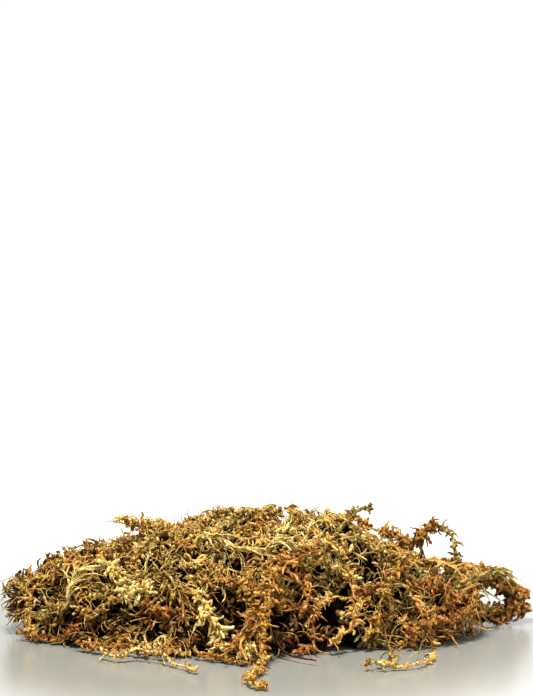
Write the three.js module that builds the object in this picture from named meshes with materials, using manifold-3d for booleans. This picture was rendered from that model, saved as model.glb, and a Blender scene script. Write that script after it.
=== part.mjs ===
// A loose clump of dried sphagnum moss: a matted heap of leafy stems lying on a flat spot.
// Millimetres, +Z up, the longest side along X, the front of the clump towards -Y.
import * as THREE from 'three';
import { mergeVertices } from 'three/addons/utils/BufferGeometryUtils.js';
import Module from 'manifold-3d';

const wasm = await Module();
wasm.setup();

// ---- driving dimensions ----

// the heap along X: [x, front foot y, back foot y, height of the top]
const STATIONS = [
  [-148, -2, 12, 14], [-140, -12, 24, 30], [-124, -30, 42, 42], [-102, -48, 56, 51],
  [-76, -62, 66, 58], [-48, -72, 74, 66], [-18, -77, 78, 72], [12, -74, 78, 73],
  [42, -64, 74, 71], [62, -56, 69, 63], [84, -48, 60, 49], [104, -36, 50, 42], [120, -20, 40, 36],
];
// open pockets between the stems: [x, y, radius]
const POCKETS = [
  [-75, -54, 11], [-66, -30, 7], [-38, -8, 10], [-16, -44, 9], [8, -14, 8],
  [10, -50, 8], [40, -50, 9], [52, -22, 8], [60, -46, 8], [100, -28, 6],
];
const COVER = 22;             // depth of the loose stems over the matted middle
const FOOT = 12;              // how far its foot stands inside the foot of the heap
const REST = [48, 30];        // half-lengths of the flat spot under the middle
const BELLY = 3;              // how far the underside rises round the flat spot
const GAP = 0.3;              // clear space kept between a stem and what carries it
const STEM = 2.1;             // radius of a leafy stem
const BRANCH = [10, 15];      // shortest and longest branch
const BRANCH_THICK = 1.35;    // radius of a branch at its thickest
const STEP = 5.5;              // length of one piece of a stem's path
const LOOSE_STEMS = 26;       // stems laid over the heap by rule

const COLOURS = {
  umber: 0x5a3b1c, rust: 0x8f4d1c, orange: 0xb4702a, gold: 0xc7953f,
  straw: 0xbfa257, olive: 0x8d8040, cream: 0xdccb8b, bark: 0x2e2218,
};

// stems with a place of their own: name, colour, knots [x, y, height or 0 to lie on the heap]
const SPRIGS = [
  ['stem_left_brown', 'rust', [[-136, -8, 0], [-128, -24, 0], [-114, -36, 0], [-102, -46, 0]], { early: true }],
  ['loop_left_olive', 'olive', [[-122, -8, 0], [-132, -8, 29], [-142, -4, 28], [-148, 2, 23],
    [-143, 6, 18], [-136, 5, 20], [-130, 2, 0]], { radius: 1.2, scale: 0.5 }],
  ['stem_left_pale', 'straw', [[-108, -40, 0], [-105, -32, 0], [-98, -25, 0], [-88, -26, 0],
    [-80, -30, 0]], { radius: 1.4, scale: 0.6, every: 2 }],
  ['tuft_left_cream', 'cream', [[-88, -27, 0], [-80, -35, 0], [-73, -42, 0], [-66, -49, 0]],
    { bushy: 1, head: true }],
  ['stem_front_rust', 'rust', [[-102, -54, 0], [-92, -60, 0], [-80, -65, 0], [-66, -71, 0],
    [-52, -78, 0]], { early: true, bushy: 0.7 }],
  ['stem_front_cream', 'cream', [[-86, -74, 0], [-76, -83, 0], [-65, -81, 0], [-54, -87, 0],
    [-44, -98, 0], [-35, -110, 0]], { early: true, radius: 1.2, scale: 0.55 }],
  ['fan_front_straw', 'straw', [[-60, -32, 0], [-53, -43, 0], [-47, -53, 0], [-42, -60, 0]],
    { bushy: 1 }],
  ['tuft_front_cream', 'cream', [[-40, -56, 0], [-33, -63, 0], [-26, -70, 0], [-18, -76, 0],
    [-11, -82, 0]], { bushy: 1, head: true }],
  ['stem_front_bits', 'orange', [[-38, -74, 0], [-30, -80, 0], [-22, -84, 0], [-13, -91, 0]],
    { early: true, radius: 1.4, scale: 0.6 }],
  ['stem_arc_pale', 'cream', [[-38, -26, 0], [-25, -30, 0], [-12, -33, 0], [4, -41, 0],
    [16, -35, 0], [23, -20, 0], [27, -6, 0]], { radius: 1.5, scale: 0.6, every: 2 }],
  ['stem_limbs_orange', 'orange', [[26, -50, 0], [14, -58, 0], [4, -66, 0], [-5, -74, 0],
    [-13, -83, 0]], { bushy: 0.8 }],
  ['stem_trail_gold', 'gold', [[12, -60, 0], [4, -68, 0], [0, -80, 0], [-2, -96, 0],
    [-4, -112, 0], [-8, -126, 0], [-8, -138, 0], [-2, -145, 0]], { bushy: 0.7, head: true }],
  ['twig_dark', 'bark', [[1, -65, 0], [7, -74, 0], [14, -80, 0], [25, -90, 0]],
    { early: true, radius: 0.7, every: 99 }],
  ['stem_lean_straw', 'straw', [[45, -16, 0], [40, -29, 0], [34, -41, 0], [28, -49, 0]],
    { radius: 1.6, scale: 0.7 }],
  ['stem_slope_straw', 'straw', [[40, -10, 0], [52, -16, 0], [63, -19, 0], [74, -18, 0]],
    { radius: 1.6, scale: 0.8 }],
  ['stem_corner_orange', 'orange', [[46, 12, 0], [56, 9, 62], [67, 6, 60], [76, 2, 53],
    [84, -4, 0]], { bushy: 0.9, radius: 1.8 }],
  ['sprig_top_olive', 'olive', [[38, -14, 0], [44, -11, 66], [49, -9, 71], [53, -8, 75],
    [58, -7, 74]], { radius: 1.3, scale: 0.45, head: true }],
  ['stem_fold_gold', 'gold', [[68, -14, 0], [76, -26, 0], [77, -36, 0], [68, -44, 0],
    [60, -52, 0]], { bushy: 0.9 }],
  ['stem_low_rust', 'rust', [[72, -56, 0], [84, -50, 0], [96, -42, 0], [107, -32, 0],
    [114, -20, 0], [112, -8, 0]], { early: true, bushy: 0.9 }],
  ['sprig_floor_straw', 'straw', [[58, -46, 0], [62, -58, 0], [65, -70, 0], [64, -82, 0],
    [59, -94, 0], [50, -103, 0]], { early: true, radius: 1.3, scale: 0.6, head: true }],
  ['sprig_floor_cream', 'cream', [[54, -103, 0], [63, -103, 0], [72, -99, 0], [81, -90, 0],
    [86, -76, 0], [86, -62, 0], [84, -50, 0]], { early: true, radius: 1.2, scale: 0.55 }],
  ['sprig_arch_olive', 'olive', [[106, 2, 0], [107, 1, 50], [104, 0, 58], [97, 0, 63],
    [90, 0, 60], [85, -1, 53], [80, -3, 0], [74, -6, 0]], { radius: 1.3, scale: 0.6 }],
  ['loop_right_rust', 'rust', [[106, 14, 0], [118, 18, 30], [130, 21, 30], [140, 22, 25],
    [144, 22, 16], [139, 21, 8], [129, 20, 0], [119, 18, 0]], { early: true, bushy: 0.9, radius: 2.4 }],
  ['loop_right_orange', 'orange', [[104, 30, 0], [114, 34, 27], [127, 36, 28], [139, 36, 22],
    [147, 34, 12], [150, 31, 0]], { early: true, bushy: 0.6 }],
  ['stem_right_olive', 'olive', [[104, -4, 0], [114, 0, 0], [124, 8, 0], [133, 15, 0],
    [141, 18, 40]], { radius: 1.4, scale: 0.7 }],
];

// ---- small helpers ----

const clamp = (v, low, high) => Math.min(high, Math.max(low, v));
const fraction = (v) => v - Math.floor(v);

function generator(seed) {
  let state = seed % 2147483647;
  const next = () => {
    state = (state * 16807) % 2147483647;
    return state / 2147483647;
  };
  next();
  next();
  return next;
}

function station(x, column) {
  if (x <= STATIONS[0][0]) return STATIONS[0][column];
  for (let i = 1; i < STATIONS.length; i += 1) {
    const [a, b] = [STATIONS[i - 1], STATIONS[i]];
    if (x <= b[0]) return a[column] + ((b[column] - a[column]) * (x - a[0])) / (b[0] - a[0]);
  }
  return STATIONS[STATIONS.length - 1][column];
}

const middleY = (x) => (station(x, 1) + station(x, 2)) / 2;
const halfDepth = (x) => (station(x, 2) - station(x, 1)) / 2;
const edgeness = (x, y) => Math.abs(y - middleY(x)) / halfDepth(x);

// how badly a spot lies off the heap or inside a pocket; 0 on free ground
function trouble(x, y) {
  const off = Math.max(0, edgeness(x, y) - 0.9, (-136 - x) / 40, (x - 110) / 40);
  const inside = POCKETS.some(([px, py, r]) => Math.hypot(x - px, y - py) < r);
  return (off ? 10 + 60 * off : 0) + (inside ? 5 : 0);
}

// ---- closed surfaces ----

function closed(positions, faces) {
  const geometry = new THREE.BufferGeometry();
  geometry.setAttribute('position', new THREE.Float32BufferAttribute(positions, 3));
  geometry.setIndex(faces);
  return geometry;
}

// A closed skin through rings of points, with a pole at each end. A face (ring i, side s) that
// has an entry 'i,s' in sprouts grows out into a four-sided branch: { mid, tip, thick }.
function skin(rings, poles, sprouts) {
  const positions = [];
  const faces = [];
  const owners = [];      // the sprout that each face belongs to, or null
  const add = (p) => positions.push(p.x, p.y, p.z) / 3 - 1;
  const sides = rings[0].length;
  rings.forEach((ring) => ring.forEach(add));
  const [first, end] = poles.map(add);
  const last = (rings.length - 1) * sides;
  for (let s = 0; s < sides; s += 1) {
    const next = (s + 1) % sides;
    faces.push(first, next, s, end, last + s, last + next);
    for (let i = 0; i < rings.length - 1; i += 1) {
      const corners = [[i, s], [i, next], [i + 1, next], [i + 1, s]];
      const root = corners.map(([r, c]) => r * sides + c);
      const branch = sprouts.get(`${i},${s}`);
      if (!branch) {
        faces.push(root[0], root[1], root[2], root[0], root[2], root[3]);
        continue;
      }
      const start = faces.length / 3;
      const points = corners.map(([r, c]) => rings[r][c]);
      const centre = points.reduce((sum, p) => sum.add(p), new THREE.Vector3()).divideScalar(4);
      const along = branch.tip.clone().sub(centre).normalize();
      const middle = points.map((p) => {
        const out = p.clone().sub(centre);
        out.addScaledVector(along, -out.dot(along)).normalize();
        return add(out.multiplyScalar(branch.thick).add(branch.mid));
      });
      const tip = add(branch.tip);
      for (let k = 0; k < 4; k += 1) {
        const n = (k + 1) % 4;
        faces.push(root[k], root[n], middle[n], root[k], middle[n], middle[k]);
        faces.push(middle[k], middle[n], tip);
      }
      for (let f = start; f < faces.length / 3; f += 1) owners[f] = `${i},${s}`;
    }
  }
  return { geometry: closed(positions, faces), owners };
}

// does the edge p-q pass through the triangle a-b-c?
const ray = new THREE.Ray();
const meeting = new THREE.Vector3();
function passes(p, q, a, b, c) {
  ray.origin.copy(p);
  ray.direction.subVectors(q, p);
  const reach = ray.direction.length();
  ray.direction.divideScalar(reach);
  return Boolean(ray.intersectTriangle(a, b, c, false, meeting))
    && meeting.distanceTo(p) < reach;
}

// the sprouts to take off so that no face of a skin passes through another, or null where the
// skin's own body does
function crossings({ geometry, owners }) {
  const { array } = geometry.index;
  const points = [];
  for (let i = 0; i < geometry.attributes.position.count; i += 1) {
    points.push(new THREE.Vector3().fromBufferAttribute(geometry.attributes.position, i));
  }
  const boxes = [];
  for (let f = 0; f < array.length; f += 3) {
    const corners = [0, 1, 2].map((k) => points[array[f + k]]);
    boxes.push(new THREE.Box3().setFromPoints(corners));
  }
  const off = new Set();
  for (let f = 0; f < boxes.length; f += 1) {
    for (let g = 0; g < boxes.length; g += 1) {
      if (!boxes[f].intersectsBox(boxes[g])) continue;
      const face = [0, 1, 2].map((k) => array[3 * g + k]);
      for (let k = 0; k < 3; k += 1) {
        const [u, v] = [array[3 * f + k], array[3 * f + ((k + 1) % 3)]];
        if (face.includes(u) || face.includes(v)) continue;
        if (passes(points[u], points[v], ...face.map((n) => points[n]))) {
          if (!owners[f] && !owners[g]) return null;
          off.add((f > g && owners[f]) || !owners[g] ? owners[f] : owners[g]);
        }
      }
    }
  }
  return off;
}

// a skin whose branches stand clear of each other and of its own body, or null if that can't be
function clearSkin(rings, poles, sprouts) {
  for (;;) {
    const made = skin(rings, poles, sprouts);
    const off = crossings(made);
    if (!off) return null;
    if (!off.size) return made.geometry;
    off.forEach((key) => sprouts.delete(key));
  }
}

function solid(geometry) {
  const clean = mergeVertices(geometry, 1e-4);
  return new wasm.Manifold(new wasm.Mesh({
    numProp: 3,
    vertProperties: new Float32Array(clean.attributes.position.array),
    triVerts: new Uint32Array(clean.index.array),
  }));
}

// ---- the height field of everything laid so far ----

const CELL = 0.5;
const FIELD = { x: -175, y: -175, nx: 700, ny: 620 };
const heights = new Float32Array(FIELD.nx * FIELD.ny);

function heightAt(x, y) {
  const i = Math.floor((x - FIELD.x) / CELL);
  const j = Math.floor((y - FIELD.y) / CELL);
  if (i < 0 || j < 0 || i >= FIELD.nx || j >= FIELD.ny) return 0;
  return heights[j * FIELD.nx + i];
}

// the highest ground under a round foot
function groundUnder(x, y, foot) {
  let top = heightAt(x, y);
  for (let k = 0; k < 12; k += 1) {
    const reach = k % 2 ? foot : foot * 0.55;
    const angle = (Math.PI * k) / 6;
    top = Math.max(top, heightAt(x + Math.cos(angle) * reach, y + Math.sin(angle) * reach));
  }
  return top;
}

function raiseField(geometry) {
  const p = geometry.attributes.position;
  const index = geometry.index.array;
  const corners = [0, 1, 2].map(() => new THREE.Vector3());
  for (let f = 0; f < index.length; f += 3) {
    corners.forEach((c, k) => c.fromBufferAttribute(p, index[f + k]));
    const [a, b, c] = corners;
    const reach = Math.max(a.distanceTo(b), b.distanceTo(c), c.distanceTo(a));
    const n = Math.max(1, Math.ceil(reach / (CELL * 0.6)));
    for (let i = 0; i <= n; i += 1) {
      for (let j = 0; j <= n - i; j += 1) {
        const [u, v] = [i / n, j / n];
        const x = a.x + (b.x - a.x) * u + (c.x - a.x) * v;
        const y = a.y + (b.y - a.y) * u + (c.y - a.y) * v;
        const z = a.z + (b.z - a.z) * u + (c.z - a.z) * v;
        const gi = Math.floor((x - FIELD.x) / CELL);
        const gj = Math.floor((y - FIELD.y) / CELL);
        if (gi >= 0 && gj >= 0 && gi < FIELD.nx && gj < FIELD.ny) {
          const at = gj * FIELD.nx + gi;
          if (z > heights[at]) heights[at] = z;
        }
      }
    }
  }
}

// ---- the matted middle ----

// a spot on the matted middle: t runs from the front foot (-1) to the back foot (1)
function matPoint(x, t) {
  const depth = halfDepth(x) - FOOT;
  const y = middleY(x) + t * depth;
  const dome = Math.pow(1 - Math.pow(Math.abs(t), 2), 0.8);
  const lumps = 2 * Math.sin(x / 11 + y / 17) * Math.cos(y / 9 - x / 23);
  const sunk = POCKETS.reduce((sum, [px, py, r]) => {
    const d = Math.hypot(x - px, y - py) / r;
    return sum + 7 * Math.exp(-d * d);
  }, 0);
  const top = station(x, 3) - COVER;
  return new THREE.Vector3(x, y, Math.max(5, 5 + (top - 5 + lumps - sunk) * dome));
}

function underside(x, y) {
  const away = Math.hypot(x / REST[0], (y - 2) / REST[1]) - 1;
  return away <= 0 ? 0 : BELLY * clamp(away * 1.4, 0, 1);
}

// The matted middle is one dense bunch: a small core whose whole upper side is drawn out into
// tufts, with branches standing out of it on every side.
function mossMat() {
  const random = generator(4021);
  const over = 18;    // faces over the top of a section
  const under = 6;    // faces along its underside
  const sections = 35;
  const sprouts = new Map();
  const rings = [];
  for (let i = 0; i <= sections; i += 1) {
    const x = 104 - (232 * i) / sections;
    const depth = halfDepth(x) - FOOT;
    const ring = [];
    for (let k = 0; k <= over; k += 1) {
      const t = -Math.cos((Math.PI * k) / over);
      const p = matPoint(x, t);
      const out = new THREE.Vector3(0, t * 1.2, 1.1 - Math.abs(t)).normalize();
      const tuft = (i + k) % 2 && i % sections ? 2.5 + 2.5 * random() : -1;
      if (k % over) p.addScaledVector(out, tuft);
      ring.push(p);
      if (k < over && i < sections && random() < 0.34) {
        const turn = 2.4 * Math.sin(x / 31 + 1) + 1.8 * Math.cos(p.y / 23) + (random() - 0.5) * 0.7;
        const along = new THREE.Vector3(Math.cos(turn), Math.sin(turn) * 0.8, 0);
        along.addScaledVector(out, 0.55 - along.dot(out)).normalize();
        const reach = BRANCH[0] + random() * 5;
        const mid = p.clone().addScaledVector(along, reach * 0.5).addScaledVector(out, 1);
        const tip = mid.clone().addScaledVector(along, reach * 0.5);
        [mid, tip].forEach((q) => { q.z = Math.max(q.z, 2.2); });
        sprouts.set(`${i},${k}`, { mid, tip, thick: BRANCH_THICK });
      }
    }
    for (let k = 1; k < under; k += 1) {
      const y = middleY(x) + depth * (1 - (2 * k) / under) * 0.94;
      ring.push(new THREE.Vector3(x, y, underside(x, y)));
    }
    rings.push(ring);
  }
  const poles = [rings[0], rings[sections]].map((ring, k) => new THREE.Vector3(
    ring[0].x + (k ? -6 : 6), middleY(ring[0].x), 8));
  return clearSkin(rings, poles, sprouts);
}

// ---- leafy stems ----

// where stems already lie, as spots in plan
const trodden = [];

const crowding = (x, y) => trodden.reduce(
  (sum, [px, py]) => sum + Math.max(0, 1 - Math.hypot(x - px, y - py) / 15), 0);

// A wandering path over the heap. At every step it swings towards the emptiest spot near its
// heading, and away from the heap's foot and from the pockets.
function wander(k) {
  const random = generator(700 + 97 * k);
  let [x, y, least] = [0, 0, 1e9];
  for (let m = 0; m < 8; m += 1) {
    const tx = -124 + 232 * fraction((8 * k + m) * 0.6180339887 + 0.29);
    const t = 1.8 * fraction((8 * k + m) * 0.7548776662 + 0.53) - 0.9;
    const ty = middleY(tx) + t * halfDepth(tx);
    const crowd = crowding(tx, ty);
    if (crowd < least && trouble(tx, ty) === 0) [x, y, least] = [tx, ty, crowd];
  }
  let heading = random() * Math.PI * 2;
  const count = 13 + Math.floor(random() * 5);
  const path = [];
  for (let i = 0; i < count; i += 1) {
    path.push([x, y, 0]);
    heading += (random() - 0.5) * 0.7;
    let best = 1e9;
    let next = null;
    for (let m = -7; m <= 7; m += 1) {
      const nx = x + STEP * Math.cos(heading + m * 0.22);
      const ny = y + STEP * Math.sin(heading + m * 0.22);
      const own = path.slice(0, -2).some(([px, py]) => Math.hypot(nx - px, ny - py) < 9);
      const cost = crowding(nx, ny) + Math.abs(m) * 0.25 + trouble(nx, ny) + (own ? 4 : 0);
      if (cost < best) [best, next] = [cost, [nx, ny, heading + m * 0.22]];
    }
    [x, y, heading] = next;
  }
  path.forEach(([px, py]) => trodden.push([px, py]));
  return path;
}

// Even points along a smooth curve through hand-set knots. A stem with any height of its own
// takes the height of the ground at its other knots.
function smoothPath(knots, radius) {
  const held = knots.some((knot) => knot[2] > 0);
  const curve = new THREE.CatmullRomCurve3(knots.map(([x, y, z]) => new THREE.Vector3(x, y,
    held && z === 0 ? groundUnder(x, y, radius + 1) + radius + 0.5 : z)), false, 'centripetal');
  const count = Math.max(4, Math.round(curve.getLength() / STEP));
  return curve.getSpacedPoints(count).map((p) => [p.x, p.y, p.z]);
}

// rest a path on the field like a limp cord, except where its own heights hold it up
function drape(path, radius) {
  const need = path.map(([x, y]) => groundUnder(x, y, radius + 1) + radius + 0.5);
  const z = need.slice();
  for (let pass = 0; pass < 24; pass += 1) {
    for (let i = 1; i < z.length - 1; i += 1) {
      z[i] = Math.max(need[i], (z[i - 1] + z[i + 1]) / 2 - 1.6);
    }
  }
  return path.map(([x, y, held], i) => new THREE.Vector3(x, y, Math.max(z[i], held)));
}

// one leafy stem: a four-sided axis whose faces grow branches to both sides and above
function leafyStem(path, options) {
  const radius = options.radius ?? STEM;
  const every = options.every ?? 1;
  const scale = options.scale ?? 1;
  const random = generator(options.seed);
  const line = drape(path, radius);
  const last = line.length - 1;
  const rings = [];
  const sprouts = new Map();
  const normal = new THREE.Vector3(0, 0, 1);
  const raise = (p, r) => Math.max(0, groundUnder(p.x, p.y, r + 0.5) + r + 0.4 - p.z);
  line.forEach((p, i) => {
    const tangent = line[Math.min(i + 1, last)].clone().sub(line[Math.max(i - 1, 0)]).normalize();
    normal.addScaledVector(tangent, -normal.dot(tangent)).normalize();
    const across = new THREE.Vector3().crossVectors(tangent, normal);
    const girth = radius * (1 - (0.4 * i) / last);
    rings.push([0, 1, 2, 3].map((s) => p.clone()
      .addScaledVector(normal, Math.cos(s * Math.PI / 2) * girth)
      .addScaledVector(across, Math.sin(s * Math.PI / 2) * girth)));
    if (i === last || i % every) return;
    const sides = options.head && i === last - 1 ? [0, 1, 2, 3] : [[0, 3][i % 2]];
    if (random() < (options.bushy ?? 0.3)) sides.push([3, 0][i % 2]);
    [...new Set(sides)].forEach((s) => {
      const around = (s + 0.5) * Math.PI / 2 + (random() - 0.5) * 0.5;
      const ahead = 0.55 + 0.35 * random();
      const direction = tangent.clone().multiplyScalar(ahead)
        .addScaledVector(normal, Math.cos(around) * 0.35)
        .addScaledVector(across, Math.sin(around)).normalize();
      const full = scale * (BRANCH[0] + (BRANCH[1] - BRANCH[0]) * random());
      const thick = BRANCH_THICK * Math.sqrt(scale);
      let [mid, tip] = [null, null];
      for (const reach of [full, full * 0.7, full * 0.45]) {
        mid = p.clone().addScaledVector(direction, reach * 0.5)
          .addScaledVector(tangent, STEP * 0.4);
        tip = mid.clone().addScaledVector(direction, reach * 0.45)
          .addScaledVector(tangent, reach * 0.12);
        tip.z -= 0.14 * reach;
        const midUp = Math.max(raise(mid, thick), 1.5 * raise(p.clone().lerp(mid, 0.6), thick));
        const tipUp = Math.max(raise(tip, 0.5), raise(mid.clone().lerp(tip, 0.5), thick * 0.6));
        mid.z += midUp;
        tip.z += tipUp;
        if (midUp + tipUp < reach * 0.45) break;
      }
      sprouts.set(`${i},${s}`, { mid, tip, thick });
    });
  });
  const poles = [0, last].map((i) => line[i].clone()
    .add(line[i].clone().sub(line[i ? last - 1 : 1]).normalize().multiplyScalar(radius)));
  return clearSkin(rings, poles, sprouts);
}

// ---- laying everything down ----

const group = new THREE.Group();
let laid = null;      // everything so far, as one solid

function addMesh(name, colour, geometry, body) {
  const material = new THREE.MeshStandardMaterial({
    color: COLOURS[colour], roughness: 0.9, metalness: 0,
  });
  const mesh = new THREE.Mesh(geometry, material);
  mesh.name = name;
  group.add(mesh);
  raiseField(geometry);
  laid = laid ? laid.add(body) : body;
}

// Lower or raise a stem until it only just clears what lies below it and the floor. A stem that
// would turn into itself ends before it does.
function layStem(name, colour, path, options) {
  let geometry = null;
  for (let end = path.length; !geometry && end > 3; end -= 1) {
    geometry = leafyStem(path.slice(0, end), options);
  }
  geometry.computeBoundingBox();
  const lowest = geometry.boundingBox.min.z;
  const moved = (dz) => solid(geometry.clone().translate(0, 0, dz));
  const meets = (dz) => lowest + dz < 0 || moved(dz).intersect(laid).volume() > 1e-5;
  let [low, high] = [-2, 0];
  while (meets(high) && high < 30) [low, high] = [high, high + 1];
  if (high === 0) {
    while (!meets(low) && low > -40) [low, high] = [low - 2, low];
  }
  for (let pass = 0; pass < 5; pass += 1) {
    const middle = (low + high) / 2;
    if (meets(middle)) low = middle;
    else high = middle;
  }
  geometry.translate(0, 0, high + GAP);
  addMesh(name, colour, geometry, solid(geometry));
}

const mat = mossMat();
addMesh('moss_mat', 'umber', mat, solid(mat));

// colour drifts along the heap from olive and straw through gold to orange and rust
function colourAt(path, k) {
  const [x, y] = path[Math.floor(path.length / 2)];
  const drift = x / 150 + 0.55 * (fraction(k * 0.569840291) - 0.5) * 2;
  if (edgeness(x, y) > 0.66 && k % 2) return drift < -0.5 ? 'olive' : 'rust';
  if (drift < -0.75) return 'olive';
  if (drift < -0.05) return 'straw';
  if (drift < 0.45) return 'gold';
  return drift < 0.9 ? 'orange' : 'rust';
}

SPRIGS.forEach(([, , knots]) => knots.forEach(([x, y]) => trodden.push([x, y])));

const laySprigs = (early) => SPRIGS.forEach(([name, colour, knots, options], k) => {
  if (early !== Boolean(options.early)) return;
  const path = smoothPath(knots, options.radius ?? STEM);
  layStem(name, colour, path, { seed: 8100 + 17 * k, ...options });
});

laySprigs(true);
for (let k = 0; k < LOOSE_STEMS; k += 1) {
  const path = wander(k);
  const colour = colourAt(path, k);
  layStem(`stem_${String(k + 1).padStart(2, '0')}_${colour}`, colour, path,
    { seed: 5200 + 13 * k, head: k % 3 === 0 });
}

laySprigs(false);

export default group;
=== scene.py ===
# %% [markdown]
# # A clump of dried sphagnum moss
#
# A clump of dried sphagnum is a heap of hundreds of leafy stems, matted where they dried
# together and loose on the outside. Every stem carries bunches of short branches, and every
# branch is wrapped in pale overlapping leaves about a millimetre long.
#
# The frame gives the matted middle and 51 stems laid over it. Each is replaced by a finer
# piece that follows the same line: a thin stem with leafy branches all round it. The matted
# middle becomes a dark core with several hundred short ropes of branches over it.
#
# Hair particles, or one branch copied about, would be quicker to set up. But copies look alike,
# and hair isn't a mesh until it is converted. Here each branch is a closed tube of its own, and
# numpy works out all the branches of one kind on a stem at once.

import math

import bpy
import numpy as np
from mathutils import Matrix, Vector
from mathutils.bvhtree import BVHTree


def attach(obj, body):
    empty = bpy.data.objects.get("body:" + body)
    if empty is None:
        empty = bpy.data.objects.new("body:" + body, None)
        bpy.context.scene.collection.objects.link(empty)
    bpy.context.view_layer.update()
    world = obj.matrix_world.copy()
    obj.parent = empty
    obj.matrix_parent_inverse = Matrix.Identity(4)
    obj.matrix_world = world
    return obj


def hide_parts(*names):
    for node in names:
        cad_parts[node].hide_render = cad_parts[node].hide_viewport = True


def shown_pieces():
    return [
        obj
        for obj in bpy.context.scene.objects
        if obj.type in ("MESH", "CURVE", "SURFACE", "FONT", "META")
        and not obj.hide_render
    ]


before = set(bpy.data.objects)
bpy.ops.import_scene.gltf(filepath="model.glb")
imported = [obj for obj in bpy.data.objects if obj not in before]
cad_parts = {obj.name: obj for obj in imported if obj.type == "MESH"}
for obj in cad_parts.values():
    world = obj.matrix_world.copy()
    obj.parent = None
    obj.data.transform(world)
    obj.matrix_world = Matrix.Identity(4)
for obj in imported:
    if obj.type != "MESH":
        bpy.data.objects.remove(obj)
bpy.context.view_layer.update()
MM = 0.001
print("frame nodes:", len(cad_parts))

# %% [markdown]
# ## The form of the heap
#
# The heap is a long low mound. It could be sculpted, but everything that follows needs to ask
# how high the moss stands at some spot, and a formula answers that for many spots at once.
#
# So the outline is written as sections: how far the foot reaches to the front and back, and how
# high the moss stands. A layer is a copy of that outline drawn inwards: layer 1 is the outside,
# layer 0 is the matted middle, and ropes lie in between.

# %% The form of the heap
# x, front foot y, back foot y, top z, all in millimetres
STATIONS = np.array([
    [-148, -2, 12, 14], [-140, -12, 24, 30], [-124, -30, 42, 42], [-102, -48, 56, 51],
    [-76, -62, 66, 58], [-48, -72, 74, 66], [-18, -77, 78, 72], [12, -74, 78, 73],
    [42, -64, 74, 71], [62, -56, 69, 63], [84, -48, 60, 49], [104, -36, 50, 42],
    [120, -20, 40, 36],
], float)
# x, y and radius of the dark gaps between the stems
POCKETS = np.array([
    [-75, -54, 11], [-66, -30, 7], [-38, -8, 10], [-16, -44, 9], [8, -14, 8],
    [10, -50, 8], [40, -50, 9], [52, -22, 8], [60, -46, 8], [100, -28, 6],
], float)
COVER = 22  # depth of loose moss over the matted middle
FOOT = 12  # and round its foot
REST = (48, 30)  # half-lengths of the flat spot that the heap rests on
SWELLS = ((-100, 34, 6), (63, 12, -10))  # x, width and rise of a shoulder and a dip
TURN = 0.02  # a small step in section angle, for measuring slopes
BELLY = 3  # how far the underside rises outside that spot


def station(x, column):
    """The outline at x, linear between the sections."""
    return np.interp(x, STATIONS[:, 0], STATIONS[:, column])


def middle_y(x):
    """Halfway between the front foot and the back foot at x."""
    return (station(x, 1) + station(x, 2)) / 2


def half_depth(x):
    """Half the way from the front foot to the back foot at x."""
    return (station(x, 2) - station(x, 1)) / 2


def layer(x, theta, h):
    """The point at section angle theta, 0 at the front foot and pi at the back foot.

    y = middle - cos(theta) (half depth - FOOT (1 - h))
    z = 5 + (top + h swell - COVER (1 - h) - 5 + lumps - pockets) sin(theta)^1.6, at least 3
    """
    t = -np.cos(theta)
    y = middle_y(x) + t * (half_depth(x) - FOOT * (1 - h))
    lumps = 2 * np.sin(x / 11 + y / 17) * np.cos(y / 9 - x / 23)
    away = np.hypot(x[..., None] - POCKETS[:, 0], y[..., None] - POCKETS[:, 1])
    sunk = (7 * np.exp(-((away / POCKETS[:, 2]) ** 2))).sum(-1)
    swell = sum(rise * np.exp(-(((x - at) / wide) ** 2)) for at, wide, rise in SWELLS)
    top = station(x, 3) + swell * np.clip(h, 0, 1) - COVER * (1 - h)
    dome = np.maximum(1 - t * t, 0) ** 0.8
    z = np.maximum(3, 5 + (top - 5 + lumps - sunk) * dome)
    return np.stack([x, y, z], -1)


def unit(v):
    """v divided by its own length, along the last axis."""
    return v / np.maximum(np.linalg.norm(v, axis=-1, keepdims=True), 1e-9)


def outward(x, theta, h):
    """The layer's normal, from its two tangents."""
    theta = np.clip(theta, 0.06, math.pi - 0.06)
    along = layer(x + 2, theta, h) - layer(x - 2, theta, h)
    across = layer(x, theta + TURN, h) - layer(x, theta - TURN, h)
    return unit(np.cross(along, across))


crest = layer(STATIONS[:, 0], np.full(len(STATIONS), math.pi / 2), np.ones(len(STATIONS)))
print(f"heap: {np.ptp(STATIONS[:, 0]):.0f} mm long, {crest[:, 2].max():.0f} mm high")

# %% [markdown]
# ## The stems that can be told apart
#
# Most of the stems are alike, but some catch the eye: pale tufts, loops at both ends, a twig,
# and sprigs that trail out over the table. Those have a place of their own, so their knots are
# listed one by one. A height of 0 means that the stem just lies on whatever is under it.

# %% The stems that can be told apart
STEP = 5.5  # millimetres between the points of a plain stem
STEM = 2.1  # and the radius of most of them
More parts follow.
